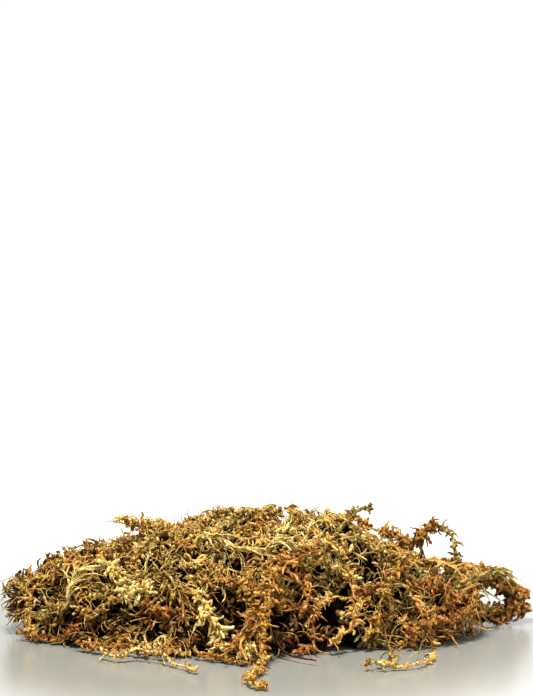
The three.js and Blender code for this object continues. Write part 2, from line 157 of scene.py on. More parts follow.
# name, colour slot, knots (x, y, height), radius of the plain stem, look (see LOOKS below)
SPRIGS = [
    ("stem_left_brown", "rust", [(-136, -8, 0), (-128, -24, 0), (-114, -36, 0),
     (-102, -46, 0)], 2.1, "rope"),
    ("loop_left_olive", "olive", [(-122, -8, 0), (-132, -8, 29), (-142, -4, 28),
     (-148, 2, 23), (-143, 6, 18), (-136, 5, 20), (-130, 2, 0)], 1.2, "sparse"),
    ("stem_left_pale", "cream", [(-108, -40, 0), (-105, -32, 0), (-98, -25, 0),
     (-88, -26, 0), (-80, -30, 0)], 1.4, "bare"),
    ("tuft_left_cream", "cream", [(-88, -27, 0), (-80, -35, 0), (-73, -42, 0),
     (-66, -49, 0)], 2.1, "tuft"),
    ("stem_front_rust", "rust", [(-102, -54, 0), (-92, -60, 0), (-80, -65, 0),
     (-66, -71, 0), (-52, -78, 0)], 2.1, "strand"),
    ("stem_front_cream", "cream", [(-86, -74, 0), (-76, -83, 0), (-65, -81, 0),
     (-54, -87, 0), (-44, -98, 0), (-35, -110, 0)], 1.2, "curly"),
    ("fan_front_straw", "straw", [(-60, -32, 0), (-53, -43, 0), (-47, -53, 0),
     (-42, -60, 0)], 2.1, "fan"),
    ("tuft_front_cream", "cream", [(-40, -56, 0), (-33, -63, 0), (-26, -70, 0),
     (-18, -76, 0), (-11, -82, 0)], 2.1, "tuft"),
    ("stem_front_bits", "orange", [(-38, -74, 0), (-30, -80, 0), (-22, -84, 0),
     (-13, -91, 0)], 1.4, "sparse"),
    ("stem_arc_pale", "cream", [(-38, -26, 0), (-25, -30, 0), (-12, -33, 0), (4, -41, 0),
     (16, -35, 0), (23, -20, 0), (27, -6, 0)], 1.5, "bare"),
    ("stem_limbs_orange", "orange", [(26, -50, 0), (14, -58, 0), (4, -66, 0),
     (-5, -74, 0), (-13, -83, 0)], 2.1, "limbs"),
    ("stem_trail_gold", "gold", [(12, -60, 0), (4, -68, 0), (0, -80, 0), (-2, -96, 0),
     (-4, -112, 0), (-8, -126, 0), (-8, -138, 0), (-2, -145, 0)], 2.1, "strand"),
    ("twig_dark", "bark", [(1, -65, 0), (7, -74, 0), (14, -80, 0), (25, -90, 0)],
     0.7, "twig"),
    ("stem_lean_straw", "straw", [(45, -16, 0), (40, -29, 0), (34, -41, 0), (28, -49, 0)],
     1.6, "rope"),
    ("stem_slope_straw", "straw", [(40, -10, 0), (52, -16, 0), (63, -19, 0),
     (74, -18, 0)], 1.6, "rope"),
    ("stem_corner_orange", "orange", [(46, 12, 0), (56, 9, 62), (67, 6, 60), (76, 2, 53),
     (84, -4, 0)], 1.8, "arch"),
    ("sprig_top_olive", "olive", [(38, -14, 0), (44, -11, 66), (49, -9, 71), (53, -8, 75),
     (58, -7, 74)], 1.3, "twiggy"),
    ("stem_fold_gold", "gold", [(68, -14, 0), (76, -26, 0), (77, -36, 0), (68, -44, 0),
     (60, -52, 0)], 2.1, "rope"),
    ("stem_low_rust", "rust", [(72, -56, 0), (84, -50, 0), (96, -42, 0), (107, -32, 0),
     (114, -20, 0), (112, -8, 0)], 2.1, "rope"),
    ("sprig_floor_straw", "straw", [(58, -46, 0), (62, -58, 0), (65, -70, 0),
     (64, -82, 0), (59, -94, 0), (50, -103, 0)], 1.3, "curly"),
    ("sprig_floor_cream", "cream", [(54, -103, 0), (63, -103, 0), (72, -99, 0),
     (81, -90, 0), (86, -76, 0), (86, -62, 0), (84, -50, 0)], 1.2, "curly"),
    ("sprig_arch_olive", "olive", [(106, 2, 0), (107, 1, 50), (104, 0, 58), (97, 0, 63),
     (90, 0, 60), (85, -1, 53), (80, -3, 0), (74, -6, 0)], 1.3, "twiggy"),
    ("loop_right_rust", "rust", [(106, 14, 0), (118, 18, 30), (130, 21, 30),
     (140, 22, 25), (144, 22, 16), (139, 21, 8), (129, 20, 0), (119, 18, 0)], 2.4, "ring"),
    ("loop_right_orange", "orange", [(104, 30, 0), (114, 34, 27), (127, 36, 28),
     (139, 36, 22), (147, 34, 12), (150, 31, 0)], 2.1, "ring"),
    ("stem_right_olive", "olive", [(104, -4, 0), (114, 0, 0), (124, 8, 0), (133, 15, 0),
     (141, 18, 40)], 1.4, "bare"),
]
print("stems with a place of their own:", len(SPRIGS))

# %% [markdown]
# ## Loose stems that look for room
#
# The other stems of the frame wander over the heap in plan, and their lines aren't kept
# anywhere. They could be found by slicing each mesh, but the rule that laid them is short, so it
# is followed again here, number for number: a stem starts at the emptiest of eight spots, and at
# every step it swings towards the least trodden ground.

# %% Loose stems that look for room
LOOSE_STEMS = 26
GOLDEN = 0.6180339887  # multiples of these three spread evenly between 0 and 1
PLASTIC = 0.7548776662
PLASTIC_2 = 0.5698402910
SWING = 0.22  # radians between the fifteen ways that a stem may turn


def generator(seed):
    """A seeded stream of numbers from 0 to 1: state = 16807 state mod (2^31 - 1)."""
    state = seed % 2147483647

    def step():
        nonlocal state
        state = state * 16807 % 2147483647
        return state / 2147483647

    step()
    step()
    return step


trodden = [knot[:2] for sprig in SPRIGS for knot in sprig[2]]  # spots already taken


def crowding(x, y):
    """Sum over laid spots of max(0, 1 - distance / 15), for arrays of x and y."""
    spots = np.array(trodden, float)
    away = np.hypot(x[:, None] - spots[:, 0], y[:, None] - spots[:, 1])
    return np.maximum(0, 1 - away / 15).sum(1)


def trouble(x, y):
    """How badly a spot lies off the heap or in a gap; 0 on free ground."""
    edge = np.abs(y - middle_y(x)) / half_depth(x)
    off = np.maximum.reduce([edge - 0.9, (-136 - x) / 40, (x - 110) / 40, 0 * x])
    away = np.hypot(x[:, None] - POCKETS[:, 0], y[:, None] - POCKETS[:, 1])
    return np.where(off > 0, 10 + 60 * off, 0) + 5 * (away < POCKETS[:, 2]).any(1)


def wander(k):
    """Loose stem k in plan: it keeps swinging towards the emptiest spot near its heading."""
    random = generator(700 + 97 * k)
    m = np.arange(8)
    tx = -124 + 232 * (((8 * k + m) * GOLDEN + 0.29) % 1)
    ty = middle_y(tx) + (1.8 * (((8 * k + m) * PLASTIC + 0.53) % 1) - 0.9) * half_depth(tx)
    cost = np.where(trouble(tx, ty) == 0, crowding(tx, ty), 1e9)
    best = int(np.argmin(cost))
    x, y = (tx[best], ty[best]) if cost[best] < 1e9 else (0.0, 0.0)
    heading = random() * math.pi * 2
    count = 13 + int(random() * 5)
    swings = np.arange(-7, 8)
    path = []
    for _ in range(count):
        path.append((x, y))
        heading += (random() - 0.5) * 0.7
        nx = x + STEP * np.cos(heading + swings * SWING)
        ny = y + STEP * np.sin(heading + swings * SWING)
        cost = crowding(nx, ny) + np.abs(swings) * 0.25 + trouble(nx, ny)
        if len(path) > 2:
            own = np.array(path[:-2])
            near = np.hypot(nx[:, None] - own[:, 0], ny[:, None] - own[:, 1]) < 9
            cost = cost + 4 * near.any(1)
        best = int(np.argmin(cost))
        x, y, heading = nx[best], ny[best], heading + swings[best] * SWING
    trodden.extend(path)
    return np.array(path)


print("spots taken before the loose stems:", len(trodden))

# %% [markdown]
# ## A smooth line through knots
#
# A stem bends without corners. Blender's own curves would do, but their points would have to be
# read back for every stem. A centripetal Catmull-Rom curve passes through all its knots, never
# loops between two that lie close together, and takes a few lines of numpy.

# %% A smooth line through knots


def through(knots, spacing):
    """Even points along a centripetal Catmull-Rom curve through the knots (n, d)."""
    p = np.asarray(knots, float)
    p = np.vstack([2 * p[0] - p[1], p, 2 * p[-1] - p[-2]])
    gaps = np.maximum(np.linalg.norm(np.diff(p, axis=0), axis=1), 1e-6) ** 0.5
    k = np.concatenate([[0], np.cumsum(gaps)])
    parts = []
    for i in range(1, len(p) - 2):
        t = np.linspace(k[i], k[i + 1], 40, endpoint=False)[:, None]
        a1, a2, a3 = (
            ((k[j + 1] - t) * p[j] + (t - k[j]) * p[j + 1]) / (k[j + 1] - k[j])
            for j in (i - 1, i, i + 1)
        )
        b1 = ((k[i + 1] - t) * a1 + (t - k[i - 1]) * a2) / (k[i + 1] - k[i - 1])
        b2 = ((k[i + 2] - t) * a2 + (t - k[i]) * a3) / (k[i + 2] - k[i])
        parts.append(((k[i + 1] - t) * b1 + (t - k[i]) * b2) / (k[i + 1] - k[i]))
    line = np.vstack([*parts, p[-2:-1]])
    run = np.concatenate([[0], np.cumsum(np.linalg.norm(np.diff(line, axis=0), axis=1))])
    count = max(4, round(run[-1] / spacing))
    at = np.linspace(0, run[-1], count + 1)
    return np.stack([np.interp(at, run, line[:, j]) for j in range(line.shape[1])], 1)


trial = through([(0, 0, 20), (15, 0, 20), (30, 0, 20)], 2.0)
print("a line 30 mm long, in steps of 2 mm, has", len(trial), "points")

# %% [markdown]
# ## Heights from the frame
#
# The plan gives x and y, and the height is read off the frame's own stem, so that the fine stem
# lies where the plain one does. The nearest point of the mesh could be on a branch instead of
# the stem. So an upright line is dropped through the axis: it meets a closed stem in pairs of
# points, one going in and one coming out, and the middle of a pair is near the axis.
#
# Beside the axis the line may also pass through a branch. The pair is taken whose length is
# nearest to the stem's thickness, or whose middle is nearest to the height that is expected.

# %% Heights from the frame
OFF_LINE = 9  # a height further than this from the expected one is misread


def tree_of(name):
    """A search tree over the faces of a node, to drop lines through."""
    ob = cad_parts[name]
    return BVHTree.FromObject(ob, bpy.context.evaluated_depsgraph_get())


def chords(tree, x, y):
    """(middle, length) in millimetres of every length of an upright line inside the mesh."""
    found, z, entry = [], 0.2, None
    while True:
        spot, normal, _, _ = tree.ray_cast(Vector((x * MM, y * MM, z)), Vector((0, 0, -1)))
        if spot is None:
            return found
        if normal.z > 0 and entry is None:
            entry = spot.z
        elif normal.z < 0 and entry is not None:
            found.append(((entry + spot.z) / 2 / MM, (entry - spot.z) / MM))
            entry = None
        z = spot.z - 1e-5


def axis_of(name, plan, radius, expected=None):
    """The plain stem's axis (n, 3) above the plan points, as far as the stem runs."""
    tree = tree_of(name)
    heights = np.full(len(plan), np.nan)
    for i, (x, y) in enumerate(plan[:, :2]):
        met = chords(tree, x, y)
        girth = radius * (1 - 0.4 * i / (len(plan) - 1))
        if met and expected is None:
            heights[i] = min(met, key=lambda c: abs(c[1] - 2 * girth))[0]
        elif met:
            near = min(met, key=lambda c: abs(c[0] - expected[i]))[0]
            heights[i] = near if abs(near - expected[i]) < OFF_LINE else np.nan
    read = np.flatnonzero(~np.isnan(heights))
    keep = np.arange(read[0], read[-1] + 1)
    heights = np.interp(keep, read, heights[read])
    if len(heights) > 4:  # the median of three drops a single misread height
        padded = np.concatenate([heights[:1], heights, heights[-1:]])
        heights = np.median(np.stack([padded[:-2], padded[1:-1], padded[2:]]), axis=0)
    return np.column_stack([plan[keep, :2], heights])


axes = {}  # the axis of every laid stem, by node name
for name, _, knots, radius, _ in SPRIGS:
    knots = np.array(knots, float)
    if knots[:, 2].any():
        tree = tree_of(name)
        low = [min((c[0] for c in chords(tree, x, y)), default=np.nan) for x, y, _ in knots]
        z = np.where(knots[:, 2] > 0, knots[:, 2], low)
        read = ~np.isnan(z)
        z = np.interp(np.arange(len(z)), np.flatnonzero(read), z[read])
        plan = through(np.column_stack([knots[:, :2], z]), STEP)
        axes[name] = axis_of(name, plan, radius, expected=plan[:, 2])
    else:
        plan = through(knots[:, :2], STEP)
        axes[name] = axis_of(name, plan, radius)
for k in range(LOOSE_STEMS):
    path = wander(k)
    name = next(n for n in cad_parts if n.startswith(f"stem_{k + 1:02d}_"))
    axes[name] = axis_of(name, path, STEM)
for name, line in axes.items():
    print(f"{name}: {len(line)} points, z {line[:, 2].min():.1f} to {line[:, 2].max():.1f}")

# %% [markdown]
# ## Closed tubes
#
# A stem, a branch and a fibre are all closed tubes: rings of points round a line, with a pole
# at each end. A bevelled curve makes a tube too, but a smooth one, and leaves would then need
# thousands of meshes of their own. On a leafy branch here every other point of a ring stands
# out and reaches forwards, and the next ring has its points in the gaps, as the leaves of the
# moss overlap.

# %% Closed tubes


def frames(path):
    """Tangents and two normals of many lines (n, r, 3); normals are carried without twist."""
    tangent = unit(np.gradient(path, axis=1))
    guess = np.where(np.abs(tangent[:, :1, 2:]) < 0.9, [0.0, 0.0, 1.0], [1.0, 0.0, 0.0])
    first = np.empty_like(tangent)
    normal = guess[:, 0]
    for i in range(path.shape[1]):
        t = tangent[:, i]
        normal = unit(normal - (normal * t).sum(-1, keepdims=True) * t)
        first[:, i] = normal
    return tangent, first, np.cross(tangent, first)


def tubes(path, radius, sides, rng, knob=0.0, rough=0.08, tone=(0.5, 0.5),
          leafy=False, flat=1.0):
    """A batch of tubes: ring point = path + r (cos a M1 + flat sin a M2) + forward T.

    M1 and M2 are the two normals turned slowly along the tube; knob is how far every other
    point stands out and rough how far all of them stray; tone is (hue, light), and like
    flat each is (n,) or a number. ridge says how far a point stands out, 0 to 1.
    """
    n, r = path.shape[:2]
    tangent, n1, n2 = frames(path)
    step = np.linalg.norm(np.gradient(path, axis=1), axis=-1)[..., None]
    turned = rng.uniform(0, 2 * math.pi, (n, 1)) + (
        rng.normal(0, 1.2, (n, 1)) * np.linspace(0, 1, r))
    turned = turned[..., None]
    n1, n2 = (np.cos(turned) * n1 + np.sin(turned) * n2, np.cos(turned) * n2 - np.sin(turned) * n1)
    n2 = n2 * np.broadcast_to(np.asarray(flat, float), (n,))[:, None, None]
    turn = 2 * math.pi * (np.arange(sides) / sides + 0.05 * rng.normal(size=(n, 1, 1)))
    out = ((np.arange(r)[:, None] + np.arange(sides)) % 2)[None] * 1.0
    push = 1 + knob * (out - 0.45) * 2 + rough * rng.normal(size=(n, r, sides))
    forward = knob * step * (1.3 * out - 0.5)
    girth = (radius[..., None] * np.clip(push, 0.3, 2.4))[..., None]
    ring = (
        path[:, :, None]
        + girth * np.cos(turn)[..., None] * n1[:, :, None]
        + girth * np.sin(turn)[..., None] * n2[:, :, None]
        + forward[..., None] * tangent[:, :, None]
    )
    poles = np.stack([
        path[:, 0] - tangent[:, 0] * radius[:, :1] * 0.5,
        path[:, -1] + tangent[:, -1] * radius[:, -1:] * 0.8,
    ], 1)
    hue, light = (np.broadcast_to(np.asarray(c, float), (n,)) for c in tone)
    along = np.linspace(0, 1, r)[None, :, None]
    # painted shade and light: points in the creases between leaves get a low ridge and are
    # darkened, those that stand out are lightened; branches also pale towards the tip, and leaves
    # stray at random
    ridge = 0.28 + 0.22 * along + 0.4 * (push - 1) / (0.3 + rough)
    ridge = np.clip(ridge + rng.normal(0, 0.14, ridge.shape), 0, 1)
    return {"ring": ring, "poles": poles, "path": path, "radius": radius, "hue": hue,
            "light": light, "ridge": ridge, "leafy": leafy}


def count_triangles(batches):
    """2 x tubes x rings x points: two to a quad, and one to each point at either end."""
    return sum(2 * len(b["ring"]) * b["ring"].shape[1] * b["ring"].shape[2] for b in batches)


trial = tubes(trial[None], np.ones((1, len(trial))), 4, np.random.default_rng(0))
print("that line as a tube of four sides has", count_triangles([trial]), "triangles")

# %% [markdown]
# ## Lines that stay on the heap
#
# A branch curls to one side and droops a little. Where it would dip into the table it is lifted,
# and where it would stick far out over the heap it is pressed down, as the weight of the moss
# does. A cloth or hair simulation could do the same, but would be slow for thousands of
# branches. Two formulas on the height alone are enough to keep the outline tidy.

# %% Lines that stay on the heap
# x and the height over y = 0 above which branches lie pressed down
CROWN = np.array([
    [-150, 29], [-142, 34], [-131, 41], [-123, 47], [-108, 54], [-94, 60], [-77, 65],
    [-55, 68], [-26, 70], [38, 69], [46, 65], [54, 56], [64, 51], [74, 48], [82, 43], [90, 39],
    [126, 38], [136, 34], [144, 27], [152, 20],
], float)


def above_floor(path, radius, gap=0.35):
    """Lifts the low parts of lines: z = low + k log(1 + exp((z - low) / k)), k = 1 mm."""
    low = radius * 1.5 + gap
    rise = np.clip(path[..., 2] - low, -30, 30)
    lifted = low + np.log1p(np.exp(rise))
    path[..., 2] = np.where(path[..., 2] - low > 6, path[..., 2], lifted - 0.3 * (rise < 0))
    path[..., 2] = np.maximum(path[..., 2], low)
    return path


def settle(path, radius):
    """Keeps lines above the floor and presses what stands above the crown down by 0.65."""
    x, y = path[..., 0], path[..., 1]
    ragged = 2.6 * np.sin(x / 5.5 + 2 * np.sin(x / 15)) * np.cos(y / 9 + x / 21)
    top = np.interp(x, CROWN[:, 0], CROWN[:, 1]) - 0.1 * y + ragged
    over = np.maximum(path[..., 2] - top, 0)
    path[..., 2] -= 0.65 * over
    return above_floor(path, radius)


def curve(p0, p1, p2, p3, count):
    """Cubic Bezier lines (n, count, 3), with points closer together towards the end."""
    t = np.linspace(0, 1, count)[None, :, None] ** 0.85
    s = 1 - t
    p0, p1, p2, p3 = (p[:, None] for p in (p0, p1, p2, p3))
    return s**3 * p0 + 3 * s * s * t * p1 + 3 * s * t * t * p2 + t**3 * p3


def bent(root, ahead, length, curl, rng, rings, droop=0.0):
    """Lines from root along ahead that turn to one side by about 2 curl radians."""
    side = unit(np.cross(ahead, rng.normal(size=root.shape)))
    twist = np.cross(ahead, side) * rng.uniform(-0.5, 0.5, (len(root), 1))
    size, curl = length[:, None] * 0.36, curl[:, None]
    p1 = root + ahead * size
    p2 = p1 + (np.cos(curl) * ahead + np.sin(curl) * side) * size
    p3 = p2 + unit(np.cos(2 * curl) * ahead + np.sin(2 * curl) * side + twist) * size
    p2[:, 2] -= 0.4 * droop * length
    p3[:, 2] -= droop * length
    return curve(root, p1, p2, p3, rings)


print("the crown stands", np.interp(0, *CROWN.T).round(1), "mm high over the middle")

# %% [markdown]
# ## Lobes, strands and hairs
#
# Most branches here are plump, blunt, curled lobes, some are long and slender, and a few are
# thin fibres that stand clear of the rest and give the frizzy edge. The branches of real dried
# moss are longer, flatter and less even than these, more like ribbons. One shape at three sizes
# would look cut from one mould, so each kind has its own profile along its line, and each
# branch its own length, thickness and curl.

# %% Lobes, strands and hairs


def lobes(root, ahead, length, thick, curl, rng, tone, lift, coarse):
    """Plump blunt branches: r = thick (0.6 + 0.4 sin(pi t^k)), rounded at the end."""
    rings = 5 if coarse else 6
    path = bent(root, ahead, length, curl, rng, rings, 0.06)
    t = np.linspace(0, 1, rings)
    full = 0.6 + 0.4 * np.sin(math.pi * t ** rng.uniform(0.6, 1.5, (len(root), 1)))
    radius = thick[:, None] * full
    radius *= 1 + 0.18 * rng.normal(size=radius.shape).clip(-1.5, 1.5)
    path = settle(path, radius) if not lift else above_floor(path, radius)
    flat = rng.uniform(0.35, 0.95, len(root))
    return tubes(path, radius, 4, rng, 0.17, 0.14, tone, leafy=True, flat=flat)


def strands(root, ahead, length, thick, curl, rng, tone, lift, droop=0.2):
    """Slender branches with a drawn-out tip: r = thick (1 - 0.7 t^1.5)."""
    rings = 7
    path = bent(root, ahead, length, curl, rng, rings, droop)
    t = np.linspace(0, 1, rings)
    radius = thick[:, None] * np.clip(0.6 + 2 * t, 0, 1) * (1 - 0.7 * t**1.5)
    radius = radius * (1 + 0.15 * rng.normal(size=radius.shape).clip(-1.5, 1.5))
    path = settle(path, radius) if not lift else above_floor(path, radius)
    flat = rng.uniform(0.45, 1, len(root))
    return tubes(path, radius, 4, rng, 0.25, 0.15, tone, leafy=True, flat=flat)


def hairs(root, ahead, length, rng, tone):
    """Curled fibres, 0.3 to 0.7 mm thick at the root, that bend back on themselves."""
    many, rings = len(root), 9
    side = unit(np.cross(ahead, rng.normal(size=(many, 3))))
    bend = side * length[:, None] * rng.uniform(0.3, 0.7, (many, 1))
    reach = ahead * length[:, None]
    path = curve(root, root + reach * 0.5, root + reach * 0.8 + bend * 0.9,
                 root + reach * 0.5 + bend * 1.4, rings)
    radius = rng.uniform(0.17, 0.32, many)[:, None] * np.linspace(1, 0.6, rings)
    return tubes(settle(path, radius), radius, 3, rng, 0, 0.04, tone)


one = np.ones(1)
trial = lobes(one[:, None] * [0, 0, 20], one[:, None] * [0, 0, 1], 8 * one, one, one,
              np.random.default_rng(0), (0.5, 0.5), True, False)
print("one lobe has", count_triangles([trial]), "triangles")

# %% [markdown]
# ## A leafy rope
#
# A dried stem is dressed all along with branches. They don't sit evenly: moss carries them in
# bunches, a couple of millimetres apart, and at its tip a stem has a crowded head. Scattering
# them over the stem's surface would lose both. So their roots are drawn along the line, pulled
# to the nearest bunch, and each leaves the stem leaning forwards, to the side that is open.

# %% A leafy rope
BUNCH = 2.2  # millimetres between two bunches of branches


def dress(batches, line, rng, hue, light, up, lobe=0.8, strand=0.2, size=(4.5, 9), plump=1.3,
          lean=(25, 80), wrap=150, head=0, stem=0.8, hair=0.03, shade=0.0, lift=False,
          slender=(9, 16), thin=(0.4, 0.75), lobe_curl=(0.5, 1.7), strand_curl=(0.2, 1.3),
          droop=0.2, bundle=0, coarse=False):
    """One leafy rope along a line (m, 3) of even points.

    up (m, 3) is the open side; lobe, strand and hair are branches of each kind to a
    millimetre of stem; head is how many more lobes crowd its tip; lean and wrap are degrees
    from the stem and round it; bundle is how many bare stems are wound loosely round it.
    """
    if not lift:
        line = settle(line[None].copy(), np.zeros(1))[0]
    run = np.concatenate([[0], np.cumsum(np.linalg.norm(np.diff(line, axis=0), axis=1))])
    total = run[-1]

    def at(s, values):
        """What values (m, 3) are at the places s along the stem."""
        return np.stack([np.interp(s, run, values[:, j]) for j in range(3)], 1)

    tangents = unit(np.gradient(line, axis=0))
    count = max(6, int(total / 3))
    core = at(np.linspace(0, total, count), line)[None]
    girth = stem * (1 - 0.45 * np.linspace(0, 1, count))[None]
    batches.append(tubes(above_floor(core, girth), girth, 4, rng, 0.0, 0.14,
                         ([hue - 0.1], [min(0.95, light + 0.2)])))

    for j in range(bundle):
        turn = 2 * math.pi * (j / bundle + run / 45) + rng.uniform(0, 1)
        apart = rng.uniform(0.9, 1.7) * (1 + 0.4 * np.sin(run / 9 + j))
        side = np.stack([0.3 * np.cos(turn), np.cos(turn), np.sin(turn)], 1)
        beside = at(np.linspace(0, total, count), line + side * apart[:, None])[None]
        thickness = rng.uniform(0.55, 0.9) * (1 - 0.4 * np.linspace(0, 1, count))[None]
        batches.append(tubes(above_floor(beside, thickness), thickness, 4, rng, 0.0, 0.2,
                             ([hue - 0.1], [min(0.98, light + 0.15)])))

    def roots(many, crowd=0):
        """Places along the stem, in bunches, and directions that lean forwards."""
        s = np.round(rng.random(many) * total / BUNCH) * BUNCH + rng.normal(0, 0.35, many)
        s = np.concatenate([s, total * (1 - 0.04 * rng.random(crowd))])
        tip = np.arange(len(s)) >= many
        t, u = unit(at(s, tangents)), at(s, up)
        u = unit(u - (u * t).sum(-1, keepdims=True) * t)
        v = np.cross(t, u)
        phi = np.radians(rng.uniform(-wrap, wrap, len(s)))[:, None]
        angle = np.where(tip, rng.uniform(0, 110, len(s)), rng.uniform(*lean, len(s)))
        angle = np.radians(angle)[:, None]
        ahead = np.cos(angle) * t + np.sin(angle) * (np.cos(phi) * u + np.sin(phi) * v)
        return at(s, line), ahead, s

    def tone(many, stray=0.09):
        """Hue and light of many branches, each straying a little from the rope's; shade takes
        light off as painted shade.
        """
        return hue + rng.normal(0, stray, many), light + rng.normal(0, 0.11, many) - shade

    if lobe or head:
        root, ahead, s = roots(int(total * lobe), head)
        many = len(s)
        length = rng.uniform(*size, many) * (1 - 0.3 * np.abs(2 * s / total - 1) ** 3)
        thick = plump * rng.uniform(0.6, 1.2, many)
        batches.append(lobes(root, ahead, length, thick, rng.uniform(*lobe_curl, many), rng,
                             tone(many), lift, coarse))
    if strand:
        root, ahead, s = roots(max(1, int(total * strand)))
        many = len(s)
        batches.append(strands(root, ahead, rng.uniform(*slender, many),
                               rng.uniform(*thin, many), rng.uniform(*strand_curl, many), rng,
                               tone(many), lift, droop))
    if hair:
        root, ahead, s = roots(max(1, int(total * hair + rng.random())))
        many = len(s)
        ahead = unit(ahead + at(s, up) * 1.2)
        batches.append(hairs(root, ahead, rng.uniform(8, 17, many), rng,
                             (hue - 0.15 + 0 * s, 0.88 + 0 * s)))


def finer(line, spacing, rng, wobble=0.0):
    """A line resampled through its own points, with a slow sideways wobble in millimetres."""
    fine = through(line, spacing)
    if wobble:
        s = np.arange(len(fine)) * spacing
        for j in range(3):
            phase = rng.uniform(0, 2 * math.pi, 3)
            for wave, ph in zip((9, 17, 28), phase):
                fine[:, j] += wobble * (0.35 + wave / 60) * np.sin(2 * math.pi * s / wave + ph)
    return fine


line = through([(0, 0, 20), (30, 0, 20)], 2.0)
trial = []
dress(trial, line, np.random.default_rng(0), 0.5, 0.5, np.tile([0.0, 0.0, 1.0], (len(line), 1)))
print("30 mm of rope has", sum(len(b["ring"]) for b in trial), "tubes")

# %% [markdown]
# ## Colours along the heap
#
# The matted moss is straw and gold over most of its length and turns to orange at the right
# end, and its low edges are browner. One colour for each rope would look like painted string,
# and pure noise like confetti. So each rope has one hue that follows the drift, and each of its
# branches strays a little from it. A hue of 0 is olive, 0.25 straw, 0.5 gold, 0.75 orange and
# 1 rust; light goes from 0, dark, to 1, bleached.

# %% Colours along the heap
SLOT_TONE = {  # hue and light of a stem by the slot it is finished from
    "umber": (0.6, 0.46), "rust": (0.78, 0.55), "orange": (0.66, 0.61), "gold": (0.46, 0.6),
    "straw": (0.3, 0.6), "olive": (0.12, 0.54), "cream": (0.34, 0.97), "bark": (1.0, 0.05),
}


def drift(x, z, rng):
    """Hue and light of a rope lying at x and height z."""
    hue = np.interp(x, [-150, -90, -30, 10, 50, 88, 105, 130],
                    [0.42, 0.36, 0.42, 0.52, 0.38, 0.4, 0.66, 0.8])
    hue = hue + np.interp(z, [4, 30, 60], [0.16, 0.02, -0.06]) + rng.normal(0, 0.2)
    light = 0.5 + np.interp(z, [4, 30, 60], [-0.06, 0, 0.04]) + rng.normal(0, 0.19)
    light += np.interp(x, [-140, -60, 10, 70, 110], [-0.04, 0.12, 0.16, 0.42, 0.6])
    return float(np.clip(hue, 0.02, 1)), float(np.clip(light, 0.15, 0.95))


hues = [drift(x, 30, np.random.default_rng(0))[0] for x in (-130, 0, 120)]
print("hue at the left, in the middle and at the right:", np.round(hues, 2))

# %% [markdown]
# ## Where the ropes of the matted middle start
#
# Short ropes lie on the matted middle in every direction and at every depth between it and the
# outline, so that light falls in between them and the gaps go dark. Starting them at random
# places would leave bald spots and clots. Multiples of an odd fraction spread evenly instead,
# first along the heap by how much surface there is, and then round the section by its length.
# The back and both ends get their share, and the last few ropes close gaps at the back.

# %% Where the ropes of the matted middle start


def roof(x, y):
    """How near to the outside ropes come, 0 to 1: low in the gaps and between bunches."""
    bunch = np.sin(x / 8.5 + 2 * np.sin(y / 13 + 1)) * np.sin(y / 7.5 + 2 * np.sin(x / 15))
    full = 0.4 + 0.6 * np.clip((bunch + 0.45) / 0.6, 0, 1)
    away = np.hypot(x[:, None] - POCKETS[:, 0], y[:, None] - POCKETS[:, 1])
    return np.where((away < POCKETS[:, 2] * 1.1).any(1), 0.02, full)


ROPES = 345
HALFWAY = 0.5  # the layer that ropes are spread over
ROUND = 90  # points round a section
# x and section angle of the last ropes, which run along the heap
FILLS = np.array([[30, 1.75], [-56, 2.8], [-52, 2.68], [-50, 2.98], [84, 2.72]])
rng = np.random.default_rng(11)
number = np.arange(ROPES)
grid_x = np.linspace(-147, 118, 120)
reach = 2.0 * half_depth(grid_x) + 0.9 * station(grid_x, 3) + 45 * (grid_x < -98)
x = np.interp((0.5 + number * PLASTIC) % 1, np.cumsum(reach) / reach.sum(), grid_x)
thetas = np.linspace(0.03, math.pi - 0.03, ROUND)
section = layer(np.repeat(x[:, None], ROUND, 1), thetas[None], np.full((ROPES, 1), HALFWAY))
arc = np.linalg.norm(np.diff(section, axis=1), axis=-1)
arc = np.concatenate([np.zeros((ROPES, 1)), np.cumsum(arc, 1)], 1)
want = ((0.5 + number * PLASTIC_2) % 1) * arc[:, -1]
theta = np.array([np.interp(w, a, thetas) for w, a in zip(want, arc)])
x[-len(FILLS):], theta[-len(FILLS):] = FILLS.T
y = layer(x, theta, np.full(ROPES, HALFWAY))[:, 1]
buried = number % 3 == 0  # every third rope lies deep
depth = np.where(buried, rng.uniform(-0.1, 0.15, ROPES) + 0.3 * (x < -100),
                 rng.uniform(0.25, 1, ROPES) * np.maximum(roof(x, y), 0.05))
heading = 2.4 * np.sin(x / 31 + 1) + 1.8 * np.cos(y / 23) + rng.normal(0, 0.9, ROPES)
heading[-len(FILLS):] = 0
stride = rng.uniform(3.0, 6.0, ROPES)
turn = rng.normal(0, 0.2, ROPES)
foot = rng.uniform(0, 0.22, ROPES)  # how near to the foot each rope may come
print(ROPES, "ropes,", int(buried.sum()), "of them deep")

# %% [markdown]
# ## How the ropes run
#
# All ropes walk at once: at every step each goes on along its heading, which turns slowly, and
# keeps to its own layer. Neighbours head roughly the same way, so they lie in swaths, as
# matted moss does. Separate random walks would look like scattered straw. Near the table the
# points are lowered a little, and at the left end low ones are raised.

